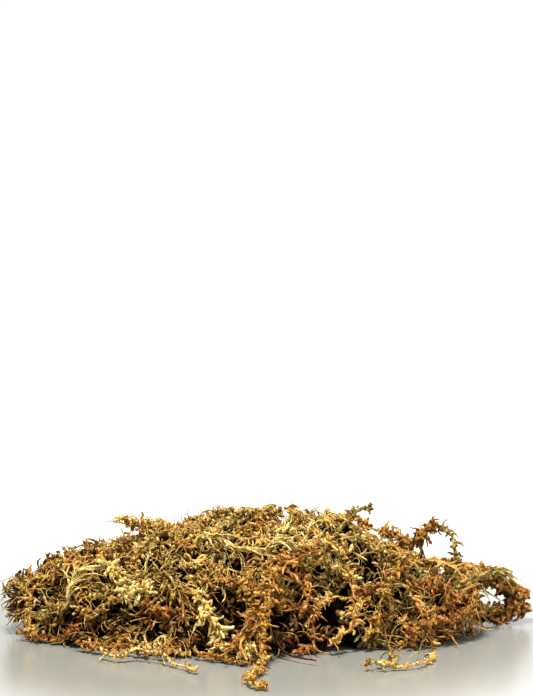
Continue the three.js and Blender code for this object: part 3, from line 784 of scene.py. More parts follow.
# %% How the ropes run
WALK = 9  # points on a rope
MIDST = WALK // 2
ROPE_ENDS = (-139, 115)
points, ups = [], []
for i in range(WALK):
    h = np.clip(depth + 0.12 * ((i - MIDST) / MIDST) ** 2, 0, 1.0)  # the ends stand up
    points.append(layer(x, theta, h))
    ups.append(outward(x, theta, h))
    across = layer(x, theta + TURN, h) - layer(x, theta - TURN, h)
    girth = np.maximum(np.linalg.norm(across, axis=-1) / (2 * TURN), 8)
    x = np.clip(x + stride * np.cos(heading), *ROPE_ENDS)
    theta = np.clip(theta + stride * np.sin(heading) / girth, foot, math.pi - foot)
    heading = heading + turn + rng.normal(0, 0.12, ROPES)
points, ups = np.stack(points, 1), np.stack(ups, 1)
points[..., 2] -= rng.uniform(0, 4, (ROPES, 1)) * (points[..., 2] < 16)
points[..., 2] += 9 * np.clip((-118 - points[..., 0]) / 20, 0, 1) * (points[..., 2] < 24)
steps = np.linalg.norm(np.diff(points, axis=1), axis=-1)
print(f"ropes are {steps.sum(1).min():.0f} to {steps.sum(1).max():.0f} mm long")

# %% [markdown]
# ## Dressing the ropes
#
# Every rope becomes a line through its points with a slow wobble, and is dressed with branches
# like any stem. Deep ropes get longer and thicker ones, darkened as painted shade, which fill the
# gaps. Of the others, half are tight, with short branches close along them, and half are loose.
# One mesh for all of it would be too heavy to handle, so the heap is split into six sections
# along x.

# %% Dressing the ropes
SECTIONS = ((-200, -88), (-88, -48), (-48, -10), (-10, 28), (28, 66), (66, 200))  # by x
# painted shade: the shade of the deep ropes takes light off their branches
ROPE_LOOKS = {
    "deep": {"lobe": 0.65, "strand": 0.1, "size": (7, 13), "plump": 1.35, "wrap": 110,
             "stem": 0.75, "hair": 0, "shade": 0.12, "coarse": True},
    "tight": {"lobe": 1.1, "size": (4.5, 8.5), "lean": (10, 42), "plump": 1.15, "wrap": 115,
              "stem": 0.85, "hair": 0.1, "head": 9, "coarse": True},
    "loose": {"lobe": 0.75, "size": (6, 13), "lean": (18, 70), "plump": 1.15, "wrap": 115,
              "stem": 0.85, "hair": 0.1, "coarse": True},
}
pieces = {}  # name: batches, the slot it is finished from, and the node it stands for
for i in range(ROPES):
    middle = points[i, MIDST]
    hue, light = drift(middle[0], middle[2], rng)
    # painted shade: ropes that lie deeper are darker, those near the outside lighter
    light += 0.22 * (depth[i] - 0.45)
    line = finer(points[i], 2.0, rng, wobble=1.6)
    place = np.linspace(0, WALK - 1, len(line))
    up = np.stack([np.interp(place, np.arange(WALK), ups[i, :, j]) for j in range(3)], 1)
    part = next(n for n, (a, b) in enumerate(SECTIONS) if a <= middle[0] < b)
    entry = pieces.setdefault(f"mat_ropes_{part + 1}", ([], "umber", "moss_mat"))
    if buried[i]:
        deep = []
        dress(deep, line, rng, hue, light, up, **ROPE_LOOKS["deep"])
        for batch in deep:
            batch["deep"] = True
        entry[0].extend(deep)
    else:
        tight = i % 3 == 1
        dress(entry[0], line, rng, hue, light + 0.1 * tight, up,
              strand=0.14 if i % 4 else 0.5, **ROPE_LOOKS["tight" if tight else "loose"])
for name, (batches, *_) in pieces.items():
    print(name, sum(len(b["ring"]) for b in batches), "tubes", count_triangles(batches))

# %% [markdown]
# ## The dark core
#
# Under the ropes the moss is matted too close to see into. More ropes could fill it, but few
# of them would show. A closed core follows the inner layer instead, and its surface is drawn up
# into ridges and hollows, to look less like a skin where it shows. Below, it is flat where the
# heap rests. It is coloured nearly black as painted shade, for the deep shadow inside the heap.

# %% The dark core
CORE = -0.08  # the layer that the core follows, just inside layer 0
CORE_ENDS = (-134, 114)


def core_mesh(across=110, over=54, under=14):
    """Rings round the heap: the layer h = CORE over the top and a flat rest below."""
    rng = np.random.default_rng(3)
    x = np.linspace(*CORE_ENDS, across)
    theta = np.linspace(0.0, math.pi, over)
    grid = np.broadcast_to(x[:, None], (across, over))
    top = layer(grid, theta[None], CORE)
    ridge = np.sin(top[..., 0] / 3.1 + 2 * np.sin(top[..., 1] / 7)) * np.sin(
        top[..., 1] / 2.7 + 2 * np.cos(top[..., 0] / 9))
    out = outward(grid, np.broadcast_to(theta, grid.shape), np.full(grid.shape, CORE))
    top = top + out * (1.6 * ridge + rng.normal(0, 0.7, grid.shape))[..., None]
    side = np.linspace(1, -1, under + 2)[1:-1]
    y = middle_y(grid[:, :1]) + side * (half_depth(grid[:, :1]) - FOOT) * 0.94
    away = np.hypot(grid[:, :1] / REST[0], (y - 2) / REST[1]) - 1
    z = BELLY * np.clip(away * 1.4, 0, 1)
    low = np.stack([np.broadcast_to(x[:, None], y.shape), y, z], -1)
    ring = np.concatenate([top, low], 1)
    ring[..., 2] = np.maximum(ring[..., 2], 0)
    ends = np.array([[x[0] - 5, middle_y(x[0]), 9], [x[-1] + 5, middle_y(x[-1]), 10]])
    return ring, ends


ring, ends = core_mesh()
# rings run from low x to high x, with theta growing from the front: turned so faces look out
core = {"ring": ring[None, :, ::-1], "poles": ends[None], "path": ring[None].mean(2),
        "radius": np.full((1, ring.shape[0]), 8.0), "ridge": np.zeros((1, *ring.shape[:2])),
        "hue": np.array([0.4]), "light": np.array([0.0]), "leafy": False, "core": True}
# painted shade: the core has no light of its own, and the finish keeps it nearly black
pieces["mat_core"] = ([core], "umber", "moss_mat")
print("core", count_triangles([core]), "triangles")

# %% [markdown]
# ## How each kind of stem is dressed
#
# All stems are dressed by one function, and a look is the list of its settings. Cream tufts are
# bright and dense, the bare ones are wound from several pale stems with few branches, loops are
# thick and woolly, and sprigs on the table are fine and curly. A list like this is easier to
# tune against the real thing than a function for each kind.

# %% How each kind of stem is dressed
LOOKS = {  # how a stem is dressed; what isn't named keeps the values of dress()
    "rope": {"lobe": 1.2, "strand": 0.2, "head": 8, "plump": 1.32, "size": (4, 8.5),
             "lean": (15, 62), "hair": 0.1, "coarse": True},
    "tuft": {"lobe": 2.5, "strand": 0.5, "size": (6, 12), "plump": 1.45, "head": 26,
             "lean": (8, 42), "lobe_curl": (0.2, 0.9), "thin": (0.6, 0.9), "bundle": 2},
    "fan": {"lobe": 0.5, "strand": 1.6, "slender": (11, 19), "lean": (8, 42), "wrap": 100,
            "thin": (0.8, 1.15), "strand_curl": (0.1, 0.6), "bundle": 1},
    "strand": {"lobe": 1.7, "strand": 0.1, "size": (3.5, 6.5), "plump": 1.15, "head": 26,
               "slender": (6, 10)},
    "ring": {"lobe": 3.0, "strand": 0.2, "size": (6, 12.5), "plump": 1.6, "head": 18,
             "lean": (30, 90), "slender": (7, 12)},
    "limbs": {"lobe": 1.0, "strand": 0.45, "size": (6, 12), "plump": 1.45, "lean": (10, 75),
              "lobe_curl": (0.2, 1.1), "head": 8, "slender": (12, 22), "thin": (0.9, 1.4),
              "strand_curl": (0.3, 1.0), "wrap": 110},
    "bare": {"lobe": 0.2, "strand": 0.8, "size": (3, 6), "plump": 0.75, "stem": 1.15,
             "slender": (9, 20), "lean": (3, 16), "hair": 0.06, "bundle": 3,
             "thin": (0.5, 0.9)},
    "curly": {"lobe": 0.8, "strand": 0.15, "size": (2.5, 5), "plump": 0.8, "slender": (5, 9),
              "stem": 0.8, "head": 10, "hair": 0.08},
    "arch": {"lobe": 1.6, "strand": 0.5, "size": (4, 9), "plump": 1.3, "lean": (15, 75),
             "head": 10, "lift": True, "hair": 0.05, "slender": (8, 13)},
    "twiggy": {"lobe": 1.0, "strand": 0.3, "size": (3, 6), "plump": 1.15, "stem": 1.5,
               "slender": (5, 8), "head": 12, "lift": True, "hair": 0},
    "sparse": {"lobe": 1.0, "strand": 0.3, "size": (3, 6), "plump": 0.95,
               "slender": (4, 8), "stem": 0.85, "head": 10, "lift": True, "hair": 0},
}
# further lines, dressed like the stem they are listed for: two that close the underside of
# the loops at the right, and one that raises the tip of the stem over them
MORE = {
    "loop_right_rust": [
        [(118, 18, 8), (128, 20, 7), (138, 22, 7), (146, 26, 8), (150, 30, 9)],
        [(116, 15, 28), (117, 17, 18), (119, 18, 9)]],
    "stem_right_olive": [[(106, -14, 27), (116, -9, 31), (126, -1, 34), (135, 9, 37),
                          (142, 17, 41)]],
}
RAISED = {"bare": 5.5, "tuft": 3.5, "fan": 4.5, "limbs": 4.0}  # millimetres it lies on top
OPEN_SIDE = unit(np.array([0.0, -0.75, 0.65]))  # forwards and up
UP = np.array([0.0, 0.0, 1.0])
print("looks:", ", ".join(LOOKS))

# %% [markdown]
# ## The stems laid over the heap
#
# Every stem of the frame now becomes a thin axis with branches round it, in a piece of its own,
# and only the twig stays bare. It could keep the plain solid inside, but that would show between
# the branches as a smooth rod, so the piece replaces it. Tufts, fans, limbs and bare stems are
# raised a few millimetres towards the open side, so that the ropes under them don't swallow them.

# %% The stems laid over the heap
sprig_named = {sprig[0]: sprig for sprig in SPRIGS}
ON_TABLE = -72  # in front of this y a curly sprig lies on the table
for index, (name, line) in enumerate(axes.items()):
    rng = np.random.default_rng(300 + index)
    loose = (name, name.rsplit("_", 1)[1], None, STEM, "rope")
    _, slot_name, _, _, look = sprig_named.get(name, loose)
    hue, light = SLOT_TONE[slot_name]
    hue, light = hue + rng.normal(0, 0.05), light + rng.normal(0, 0.05)
    batches = []
    if look == "twig":
        fine = finer(line, 2.0, rng, wobble=0.2)[None]
        girth = 0.75 * (1 - 0.45 * np.linspace(0, 1, fine.shape[1]))[None]
        batches.append(tubes(above_floor(fine, girth), girth, 6, rng, 0, 0.12, (hue, light)))
    elif look == "curly" and name != "stem_front_cream":
        # leafy on the floor, bare where it runs up into the heap
        fine = finer(line, 1.5, rng, wobble=0.6)
        up = np.broadcast_to(UP, fine.shape)
        outer, inner = fine[:, 1] < ON_TABLE, fine[:, 1] > ON_TABLE - 3
        dress(batches, fine[outer], rng, hue, light, up[outer], **LOOKS[look])
        dress(batches, fine[inner], rng, 0.6, 0.2, up[inner], lobe=0, strand=0.2, hair=0,
              stem=0.5)
    else:
        fine = finer(line, 1.5, rng, wobble=1.0 if look in ("rope", "tuft") else 0.6)
        rise = np.sin(math.pi * np.linspace(0, 1, len(fine))) ** 0.5
        fine = fine + OPEN_SIDE * RAISED.get(look, 0) * rise[:, None]
        up = np.broadcast_to(UP, fine.shape)
        dress(batches, fine, rng, hue, light, up, **LOOKS[look])
        for leg in MORE.get(name, []):
            leg = through(np.array(leg, float), 1.5)
            dress(batches, leg, rng, hue - 0.08, light, up[:1].repeat(len(leg), 0), **LOOKS[look])
        if name == "sprig_arch_olive":  # its far half carries orange clusters
            far = len(fine) * 11 // 20
            dress(batches, fine[far:], rng, 0.72, 0.5, up[far:], lobe=2.2, strand=0.8,
                  size=(6, 12), plump=1.2, head=12, hair=0, lift=True, slender=(8, 14),
                  thin=(0.6, 1.0))
    pieces[name + "_leaves"] = (batches, slot_name, name)
laid = [batches for name, (batches, *_) in pieces.items() if name.endswith("_leaves")]
print(len(laid), "stems,", sum(count_triangles(batches) for batches in laid), "triangles")

# %% [markdown]
# ## Room round the stems that show
#
# The bright tufts, the bare pale stems and the hanging strands lie on top of the heap with
# nothing over them. Raising them further would make them float. So a branch of a rope or of a
# plain stem that reaches into the room on their open side, upwards and to the front, is left
# out. The dark gaps are kept open in the same way.

# %% Room round the stems that show
ROOM = {"tuft": 7.5, "fan": 8.0, "limbs": 7.0, "bare": 5.5, "curly": 4.0, "strand": 5.5,
        "twig": 2.5, "sparse": 3.0}  # radius of the room beside each look, in millimetres
LOW_PART = {"strand": -60, "curly": -80}  # only what lies in front of this y needs room
TIGHT = 0.85  # the share of its room that a stem really gets; for a gap it counts twice
room = []  # the stem it belongs to, its centre and its radius
for name, _, _, _, look in SPRIGS:
    if look in ROOM:
        line = through(axes[name], 3.0)
        if look in LOW_PART:
            line = line[line[:, 1] < LOW_PART[look]]
        room += [(name, p + OPEN_SIDE * ROOM[look] * away, ROOM[look]) for p in line
                 for away in (0.9, 2.2, 3.5)]
gap_x, gap_y, gap_size = POCKETS.T
sideways = (gap_y - middle_y(gap_x)) / half_depth(gap_x)
for h in (0.45, 0.75, 1.05):
    spots = layer(gap_x, np.arccos(-np.clip(sideways, -1, 1)), np.full(len(POCKETS), h))
    room += [("", spot, size * TIGHT) for spot, size in zip(spots, gap_size)]
owners = np.array([r[0] for r in room])
centres = np.array([r[1] for r in room])
reaches = np.array([r[2] for r in room])


def cut(batch, keep):
    """Keeps only some tubes of a batch."""
    for key, value in batch.items():
        if isinstance(value, np.ndarray):
            batch[key] = value[keep]


for batches, _, node in pieces.values():
    if node in sprig_named and sprig_named[node][4] != "rope":
        continue
    others = owners != node
    for b in batches:
        if not b["leafy"] or b.get("deep"):
            continue
        keep = np.ones(len(b["path"]), bool)
        for spot in (2, -1):  # its middle and its tip
            away = np.linalg.norm(b["path"][:, spot, None] - centres[None, others], axis=-1)
            keep &= (away > reaches[others] * TIGHT).all(1)
        cut(b, keep)
total = sum(count_triangles(batches) for batches, *_ in pieces.values())
print("pieces:", len(pieces), "triangles:", total)

# %% [markdown]
# ## How much moss there is where
#
# Inside the heap the moss is painted darker and browner than on top. This is painted shade,
# added to the shadows that the renderer finds by itself, so the finish has to be told how deep a
# branch lies. To know it, the space round the heap is cut into small cubes, and the moss in each
# is added up.

# %% How much moss there is where
CUBE = 3.0  # millimetres
ORIGIN = np.array([-190.0, -190.0, -6.0])
SHAPE = (130, 105, 34)  # cubes along x, y and z
everything = [b for batches, *_ in pieces.values() for b in batches]
moss = np.zeros(np.prod(SHAPE))
for b in everything:
    if b.get("core"):
        continue
    path, radius = b["path"], b["radius"]
    length = np.linalg.norm(np.gradient(path, axis=1), axis=-1)
    amount = (2.0 * radius * length).ravel()
    cell = ((path.reshape(-1, 3) - ORIGIN) / CUBE).astype(int)
    cell = np.clip(cell, 0, np.array(SHAPE) - 1)
    moss += np.bincount(np.ravel_multi_index(cell.T, SHAPE), amount, minlength=len(moss))
moss = moss.reshape(SHAPE) / CUBE**3
cubes = np.stack(np.meshgrid(*map(np.arange, SHAPE), indexing="ij"), -1)
cubes = ORIGIN + (cubes + 0.5) * CUBE
cube_x, cube_y, cube_z = np.moveaxis(cubes, -1, 0)
off, wide = cube_y - middle_y(cube_x), half_depth(cube_x) - FOOT
angle = np.arccos(np.clip(-off / np.maximum(wide, 1), -1, 1))
matted = cube_z < layer(cube_x, angle, np.zeros(SHAPE))[..., 2]
matted &= (cube_x > -128) & (cube_x < 112) & (np.abs(off) < wide)
moss[matted] += 0.25  # the core is dense all through
print(f"cubes with moss in them: {(moss > 0).mean():.0%}")

# %% [markdown]
# ## How open each branch lies
#
# From every branch eleven rays look outwards and upwards, and each is weakened by the moss that
# it meets. The more closed in a branch lies, the more painted shade the finish gives it. The
# rays could be traced through the real meshes, but reading the cubes is much less work and close
# enough for painted shade. The branches that lie deepest are left out, which saves about a tenth
# of all the triangles.

# %% How open each branch lies
HIDDEN = 0.16  # a branch less open than this is left out
# painted shade: deep ropes are darkened further than their openness alone would make them
DEEP_SHADE = 0.62  # deep ropes are darker than their place alone would make them
# six low rays, four steep ones and one straight up
around = [(math.cos(a) * c, math.sin(a) * c, s) for c, s, n in ((0.93, 0.37, 6), (0.6, 0.8, 4))
          for a in np.arange(n) * 2 * math.pi / n + 0.3] + [(0, 0, 1)]


def openness(points):
    """Mean over the rays of exp(-1.1 sum of moss met in the first 23 mm), 0 to 1."""
    clear = np.zeros(len(points))
    for way in around:
        met = np.zeros(len(points))
        for step in range(1, 8):
            cell = ((points + np.array(way) * CUBE * step * 1.1 - ORIGIN) / CUBE).astype(int)
            cell = np.clip(cell, 0, np.array(SHAPE) - 1)
            met += moss[cell[:, 0], cell[:, 1], cell[:, 2]]
        clear += np.exp(-met * 1.1)
    return clear / len(around)


for b in everything:
    shape = b["path"].shape[:2]
    b["open"] = openness(b["path"].reshape(-1, 3)).reshape(shape)
    if b.get("core"):
        # painted shade: the core is kept nearly black, like the shadow deep inside the heap
        b["open"] = 0.055 + 0.06 * b["open"]  # the core is always nearly black
    elif b.get("deep"):
        b["open"] *= DEEP_SHADE
    if b["leafy"]:
        cut(b, b["open"].max(1) > HIDDEN * (DEEP_SHADE if b.get("deep") else 1))
for batches, *_ in pieces.values():
    batches[:] = [b for b in batches if len(b["ring"])]
values = np.concatenate([b["open"].max(1) for b in everything if b["leafy"]])
print("openness percentiles", np.percentile(values, [5, 10, 20, 30, 40, 50, 75, 95]).round(3))
total = sum(count_triangles(batches) for batches, *_ in pieces.values())
print("pieces:", len(pieces), "triangles:", total)
for name, (batches, *_) in pieces.items():
    if name.startswith("mat"):
        print(name, count_triangles(batches))

# %% [markdown]
# ## A patch of the UV square for each tube
#
# Whatever is painted or baked on a piece is stored in its UV square, so no two faces may share a
# spot there. Blender's own unwrapping would do it, but without knowing what the faces are. A
# tube unrolls into a strip by itself: u runs round it and v along it. So the square is cut
# into a table of cells, one for each tube, with the bare tubes in an upper strip.

# %% A patch of the UV square for each tube


def patches(count, box, aspect):
    """Lower corners and size of count cells in a box of the UV square, about aspect wide."""
    x0, y0, x1, y1 = box
    columns = max(1, round(math.sqrt(count * (x1 - x0) / (y1 - y0) / aspect)))
    rows = -(-count // columns)
    cell = np.arange(count)
    size = np.array([(x1 - x0) / columns, (y1 - y0) / rows])
    corner = np.stack([x0 + cell % columns * size[0], y0 + cell // columns * size[1]], -1)
    return corner, size


def patch_map(batches):
    """(corners, size, whether it lies on its side) of the patches of every batch, by id."""
    bare = [b for b in batches if not b["leafy"]]
    leafy = [b for b in batches if b["leafy"]]
    share = 0.3 if leafy else 1.0
    boxes = {}
    for group, low, high, aspect in ((bare, 1 - share, 1, 3.0), (leafy, 0, 1 - share, 0.6)):
        if not group:
            continue
        corner, size = patches(sum(len(b["ring"]) for b in group), (0, low, 1, high), aspect)
        done = np.cumsum([len(b["ring"]) for b in group])[:-1]
        for b, part in zip(group, np.split(corner, done)):
            boxes[id(b)] = part, size, group is bare
    return boxes


def on_patch(u, v, corner, size, turned):
    """UVs of the faces of every tube, (u, v) from 0 to 1 laid on its own patch with a margin."""
    u, v = 0.06 + 0.88 * u, 0.04 + 0.92 * v
    if turned:
        u, v = v, u
    return (np.stack([u, v], -1)[None] * size + corner[:, None, None]).reshape(-1, 2)


print("a hundred tubes on the whole square: cells of", patches(100, (0, 0, 1, 1), 0.6)[1].round(3))

# %% [markdown]
# ## Faces and growth of a tube
#
# Between two rings lie quads, and each end closes in a fan of triangles round its pole. Each
# point also carries its growth, which the finish reads: hue, light and openness as a colour,
# and as its fourth value how far the point stands out, from the crease between two leaves to
# the tip of one. A painted picture could hold this, but values on the points need no picture
# and stay with the mesh.

# %% Faces and growth of a tube


def tube_faces(r, s):
    """Quads between r rings of s points and triangles at the ends, each with its (u, v).

    Point k of ring i is number i s + k, and the poles are r s and r s + 1.
    """
    i, k = (a.ravel() for a in np.meshgrid(np.arange(r - 1), np.arange(s), indexing="ij"))
    k1 = (k + 1) % s
    quad = np.stack([i * s + k, i * s + k1, (i + 1) * s + k1, (i + 1) * s + k], 1)
    quad_u = np.stack([k, k + 1, k + 1, k], 1) / s
    quad_v = np.stack([i + 1, i + 1, i + 2, i + 2], 1) / (r + 1)
    k = np.arange(s)
    k1 = (k + 1) % s
    last = (r - 1) * s
    tri = np.concatenate([
        np.stack([np.full(s, r * s), k1, k], 1),
        np.stack([np.full(s, r * s + 1), last + k, last + k1], 1)])
    tri_u = np.concatenate([np.stack([k + 0.5, k + 1, k], 1),
                            np.stack([k + 0.5, k, k + 1], 1)]) / s
    tri_v = np.concatenate([np.tile([0, 1, 1], (s, 1)),
                            np.tile([r + 1, r, r], (s, 1))]) / (r + 1)
    return (quad, quad_u, quad_v), (tri, tri_u, tri_v)


def growth_of(b):
    """Hue, light, openness and ridge of every point of a batch, poles last (n, points, 4)."""
    n, r, s = b["ring"].shape[:3]
    info = np.empty((n, r * s + 2, 4))
    info[:, :, 0] = np.clip(b["hue"], 0, 1)[:, None]
    info[:, :, 1] = np.clip(b["light"], 0, 1)[:, None]
    info[:, :r * s, 2] = np.repeat(b["open"], s, axis=1)
    info[:, r * s:, 2] = b["open"][:, [0, -1]]
    info[:, :r * s, 3] = b["ridge"].reshape(n, r * s)
    # painted light and shade: the tip pole counts as standing out, the root pole as a crease
    info[:, r * s:, 3] = 0, 0.8
    return info


print("a lobe has", " and ".join(str(len(f[0])) for f in tube_faces(6, 4)), "quads and triangles")

# %% [markdown]
# ## From batches to pieces
#
# All the tubes of a piece go into one mesh. An object for each branch would be easier to pick
# and move, but there are many thousands of them. The arrays go into the mesh whole, with
# foreach_set, and the piece rides on the only body and stands for its node of the frame.

# %% From batches to pieces


def make_piece(name, batches, node, material):
    """One closed mesh for each tube of the batches, all in one object."""
    boxes = patch_map(batches)
    verts, growth, faces, uvs, smooth = [], [], [], [], []
    first = 0
    for b in batches:
        n, r, s = b["ring"].shape[:3]
        block = np.concatenate([b["ring"].reshape(n, r * s, 3), b["poles"]], 1)
        verts.append(block.reshape(-1, 3))
        growth.append(growth_of(b).reshape(-1, 4))
        base = first + np.arange(n)[:, None, None] * block.shape[1]
        for corners, u, v in tube_faces(r, s):
            faces.append((corners[None] + base).reshape(-1, corners.shape[1]))
            uvs.append(on_patch(u, v, *boxes[id(b)]))
            smooth.append(np.full(n * len(corners), not b.get("core")))
        first += n * block.shape[1]
    co = np.concatenate(verts) * MM
    loops = np.concatenate([f.ravel() for f in faces])
    sizes = np.concatenate([np.full(len(f), f.shape[1]) for f in faces])
    uv = np.concatenate(uvs)
    mesh = bpy.data.meshes.new(name)
    mesh.vertices.add(len(co))
    mesh.vertices.foreach_set("co", co.astype(np.float32).ravel())
    mesh.loops.add(len(loops))
    mesh.loops.foreach_set("vertex_index", loops.astype(np.int32))
    mesh.polygons.add(len(sizes))
    starts = np.concatenate([[0], np.cumsum(sizes)[:-1]]).astype(np.int32)
    mesh.polygons.foreach_set("loop_start", starts)
    mesh.polygons.foreach_set("use_smooth", np.concatenate(smooth))
    mesh.update(calc_edges=True)
    mesh.uv_layers.new(name="OFBake").data.foreach_set("uv", uv.astype(np.float32).ravel())
    colours = mesh.attributes.new("growth", "FLOAT_COLOR", "POINT")
    colours.data.foreach_set("color", np.concatenate(growth).astype(np.float32).ravel())
    mesh.materials.append(material)
    ob = bpy.data.objects.new(name, mesh)
    bpy.context.scene.collection.objects.link(ob)
    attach(ob, "root")
    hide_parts(node)
    return ob


print("pieces to make:", len(pieces))

# %% [markdown]
# ## The colours of dried moss
#
# Dried moss is matt and papery, and it has no single brown. Its branches pale towards the tip,
# the creases between its leaves are painted darker as painted shade and the leaves that stand out
# painted lighter as painted light, and all keep the hue of the stem. A ramp from dark to light
# could not turn from olive to rust as well. So there are three ramps over the hue, for dark,
# middling and light moss, and the lightness picks between them.

# %% The colours of dried moss


def linear(r, g, b):
    """A screen colour, 0 to 255, as the linear values that a shader works with."""
    c = np.array([r, g, b]) / 255
    return (*np.where(c <= 0.04045, c / 12.92, ((c + 0.055) / 1.055) ** 2.4), 1.0)


# olive, straw, gold, orange and rust
DARK = [(38, 24, 6), (50, 28, 7), (56, 29, 6), (58, 27, 6), (50, 20, 5)]
MIDDLE = [(122, 98, 34), (160, 119, 40), (174, 121, 36), (168, 104, 33), (144, 80, 30)]
LIGHT = [(200, 184, 108), (234, 211, 137), (234, 201, 113), (226, 177, 96), (208, 150, 82)]


def new_ramp(tree, colours):
    """A colour ramp with five colours at even steps."""
    node = tree.nodes.new("ShaderNodeValToRGB")
    ramp = node.color_ramp
    ramp.elements[0].position, ramp.elements[1].position = 0, 1
    for at in (0.25, 0.5, 0.75):
        ramp.elements.new(at)
    for element, colour in zip(ramp.elements, colours):
        element.color = linear(*colour)
    return node


for title, colours in (("dark", DARK), ("middle", MIDDLE), ("light", LIGHT)):
    print(title, "moss, mean of its five colours:", np.mean(colours, axis=0).round())

# %% [markdown]
# ## Short names for shader nodes
#
# A finish could be joined up by hand in the node editor, but a script can be read and run
# again. There every node takes several lines, so these three helpers add a sum, a mix or a
# noise in one line each, and the finish below reads like a recipe.

# %% Short names for shader nodes


def maths(tree, kind, a, b=None, c=None, clamp=False):
    """A Math node of up to three numbers or sockets."""
    node = tree.nodes.new("ShaderNodeMath")
    node.operation, node.use_clamp = kind, clamp
    for socket, value in zip(node.inputs, (a, b, c)):
        if value is None:
            continue
        if isinstance(value, (int, float)):
            socket.default_value = value
        else:
            tree.links.new(value, socket)
    return node.outputs[0]


def mix(tree, factor, a, b):
    """The colour a where the factor is 0, and b where it is 1."""
    node = tree.nodes.new("ShaderNodeMix")
    node.data_type = "RGBA"
    for socket, value in zip((node.inputs[0], node.inputs[6], node.inputs[7]), (factor, a, b)):
        if isinstance(value, (int, float, tuple)):
            socket.default_value = value
        else:
            tree.links.new(value, socket)
    return node.outputs[2]


def noise(tree, scale, detail=2.0, rough=0.55):
    """Noise on the object's own coordinates; scale is in waves to a metre."""
    spot = tree.nodes.new("ShaderNodeTexCoord").outputs["Object"]
    node = tree.nodes.new("ShaderNodeTexNoise")
    node.inputs["Scale"].default_value = scale
    node.inputs["Detail"].default_value = detail
    node.inputs["Roughness"].default_value = rough
    tree.links.new(spot, node.inputs["Vector"])
    return node.outputs["Fac"]


scratch = bpy.data.node_groups.new("scratch", "ShaderNodeTree")
noise(scratch, 100)
print("one line of noise makes", len(scratch.nodes), "nodes")
bpy.data.node_groups.remove(scratch)

# %% [markdown]
# ## The finish of dried moss
#
# The colour strays at every scale: from rope to rope, from branch to branch, from bunch to
# bunch and leaf by leaf. The first two come with the growth of each point, and the others from
# noise, about as broad as a few bunches and as a leaf. Every colour slot needs the same recipe,
# so it is a node group, built once: it takes the growth and the ridge, and gives out colour,
# roughness and height.

# %% The finish of dried moss
LEAF, BUNCHES, GRAIN = 620, 75, 1500  # waves of noise to a metre
# painted shade: the dark brown that closed-in moss is mixed towards
PAINTED_SHADE_BROWN = linear(16, 7, 2)  # the moss where no light comes


def moss_group():
    """hue = growth + two noises, light = growth + ridge + one noise; then painted shade by
    openness.
    """
    tree = bpy.data.node_groups.new("Dried_moss", "ShaderNodeTree")
    sockets = (("Growth", "INPUT", "NodeSocketColor"), ("Ridge", "INPUT", "NodeSocketFloat"),
               ("Colour", "OUTPUT", "NodeSocketColor"), ("Roughness", "OUTPUT", "NodeSocketFloat"),
               ("Height", "OUTPUT", "NodeSocketFloat"))
    for name, way, kind in sockets:
        tree.interface.new_socket(name, in_out=way, socket_type=kind)
    enter = tree.nodes.new("NodeGroupInput")
    leave = tree.nodes.new("NodeGroupOutput")
    split = tree.nodes.new("ShaderNodeSeparateColor")
    tree.links.new(enter.outputs["Growth"], split.inputs[0])
    hue, light, clear = split.outputs[0], split.outputs[1], split.outputs[2]
    ridge = enter.outputs["Ridge"]
    leaf = noise(tree, LEAF, 3.0, 0.6)
    broad = noise(tree, BUNCHES)
    # noise lies round 0.5, so half of what it is multiplied by is taken off again
    hue = maths(tree, "ADD", hue, maths(tree, "MULTIPLY_ADD", broad, 0.8, -0.4))
    hue = maths(tree, "ADD", hue, maths(tree, "MULTIPLY_ADD", leaf, 0.3, -0.15), clamp=True)
    light = maths(tree, "ADD", light, maths(tree, "MULTIPLY_ADD", leaf, 1.9, -0.95))
    # painted shade in the creases between leaves and painted light where they stand out, from the
    # ridge
    light = maths(tree, "MULTIPLY_ADD", ridge, 0.95, light)
    light = maths(tree, "ADD", light, -0.54, clamp=True)
    dark, middle, pale = (new_ramp(tree, c) for c in (DARK, MIDDLE, LIGHT))
    for ramp in (dark, middle, pale):
        tree.links.new(hue, ramp.inputs[0])
    low = maths(tree, "MULTIPLY", light, 2.0, clamp=True)
    high = maths(tree, "MULTIPLY_ADD", light, 2.0, -1.0, clamp=True)
    colour = mix(tree, low, dark.outputs[0], middle.outputs[0])
    colour = mix(tree, high, colour, pale.outputs[0])
    # painted shade: where a branch lies closed in, its colour is mixed towards a dark brown
    shade = maths(tree, "MULTIPLY_ADD", clear, 2.4, -0.17, clamp=True)
    colour = mix(tree, shade, PAINTED_SHADE_BROWN, colour)
    grain = noise(tree, GRAIN, 2.0, 0.6)
    tree.links.new(colour, leave.inputs["Colour"])
    rough = maths(tree, "MULTIPLY_ADD", leaf, 0.25, 0.55)
    tree.links.new(rough, leave.inputs["Roughness"])
    tree.links.new(maths(tree, "ADD", leaf, grain), leave.inputs["Height"])
    return tree


group = moss_group()
print("nodes in the finish:", len(group.nodes))

# %% [markdown]
# ## One material for each slot
#
# The group gives values only, so each material has its own shader for them. The height of the
# leaves goes through a Bump node, because real relief that fine would need far more faces.
# The deep core has no shine at all, since a glint down there would give it away.

# %% One material for each slot


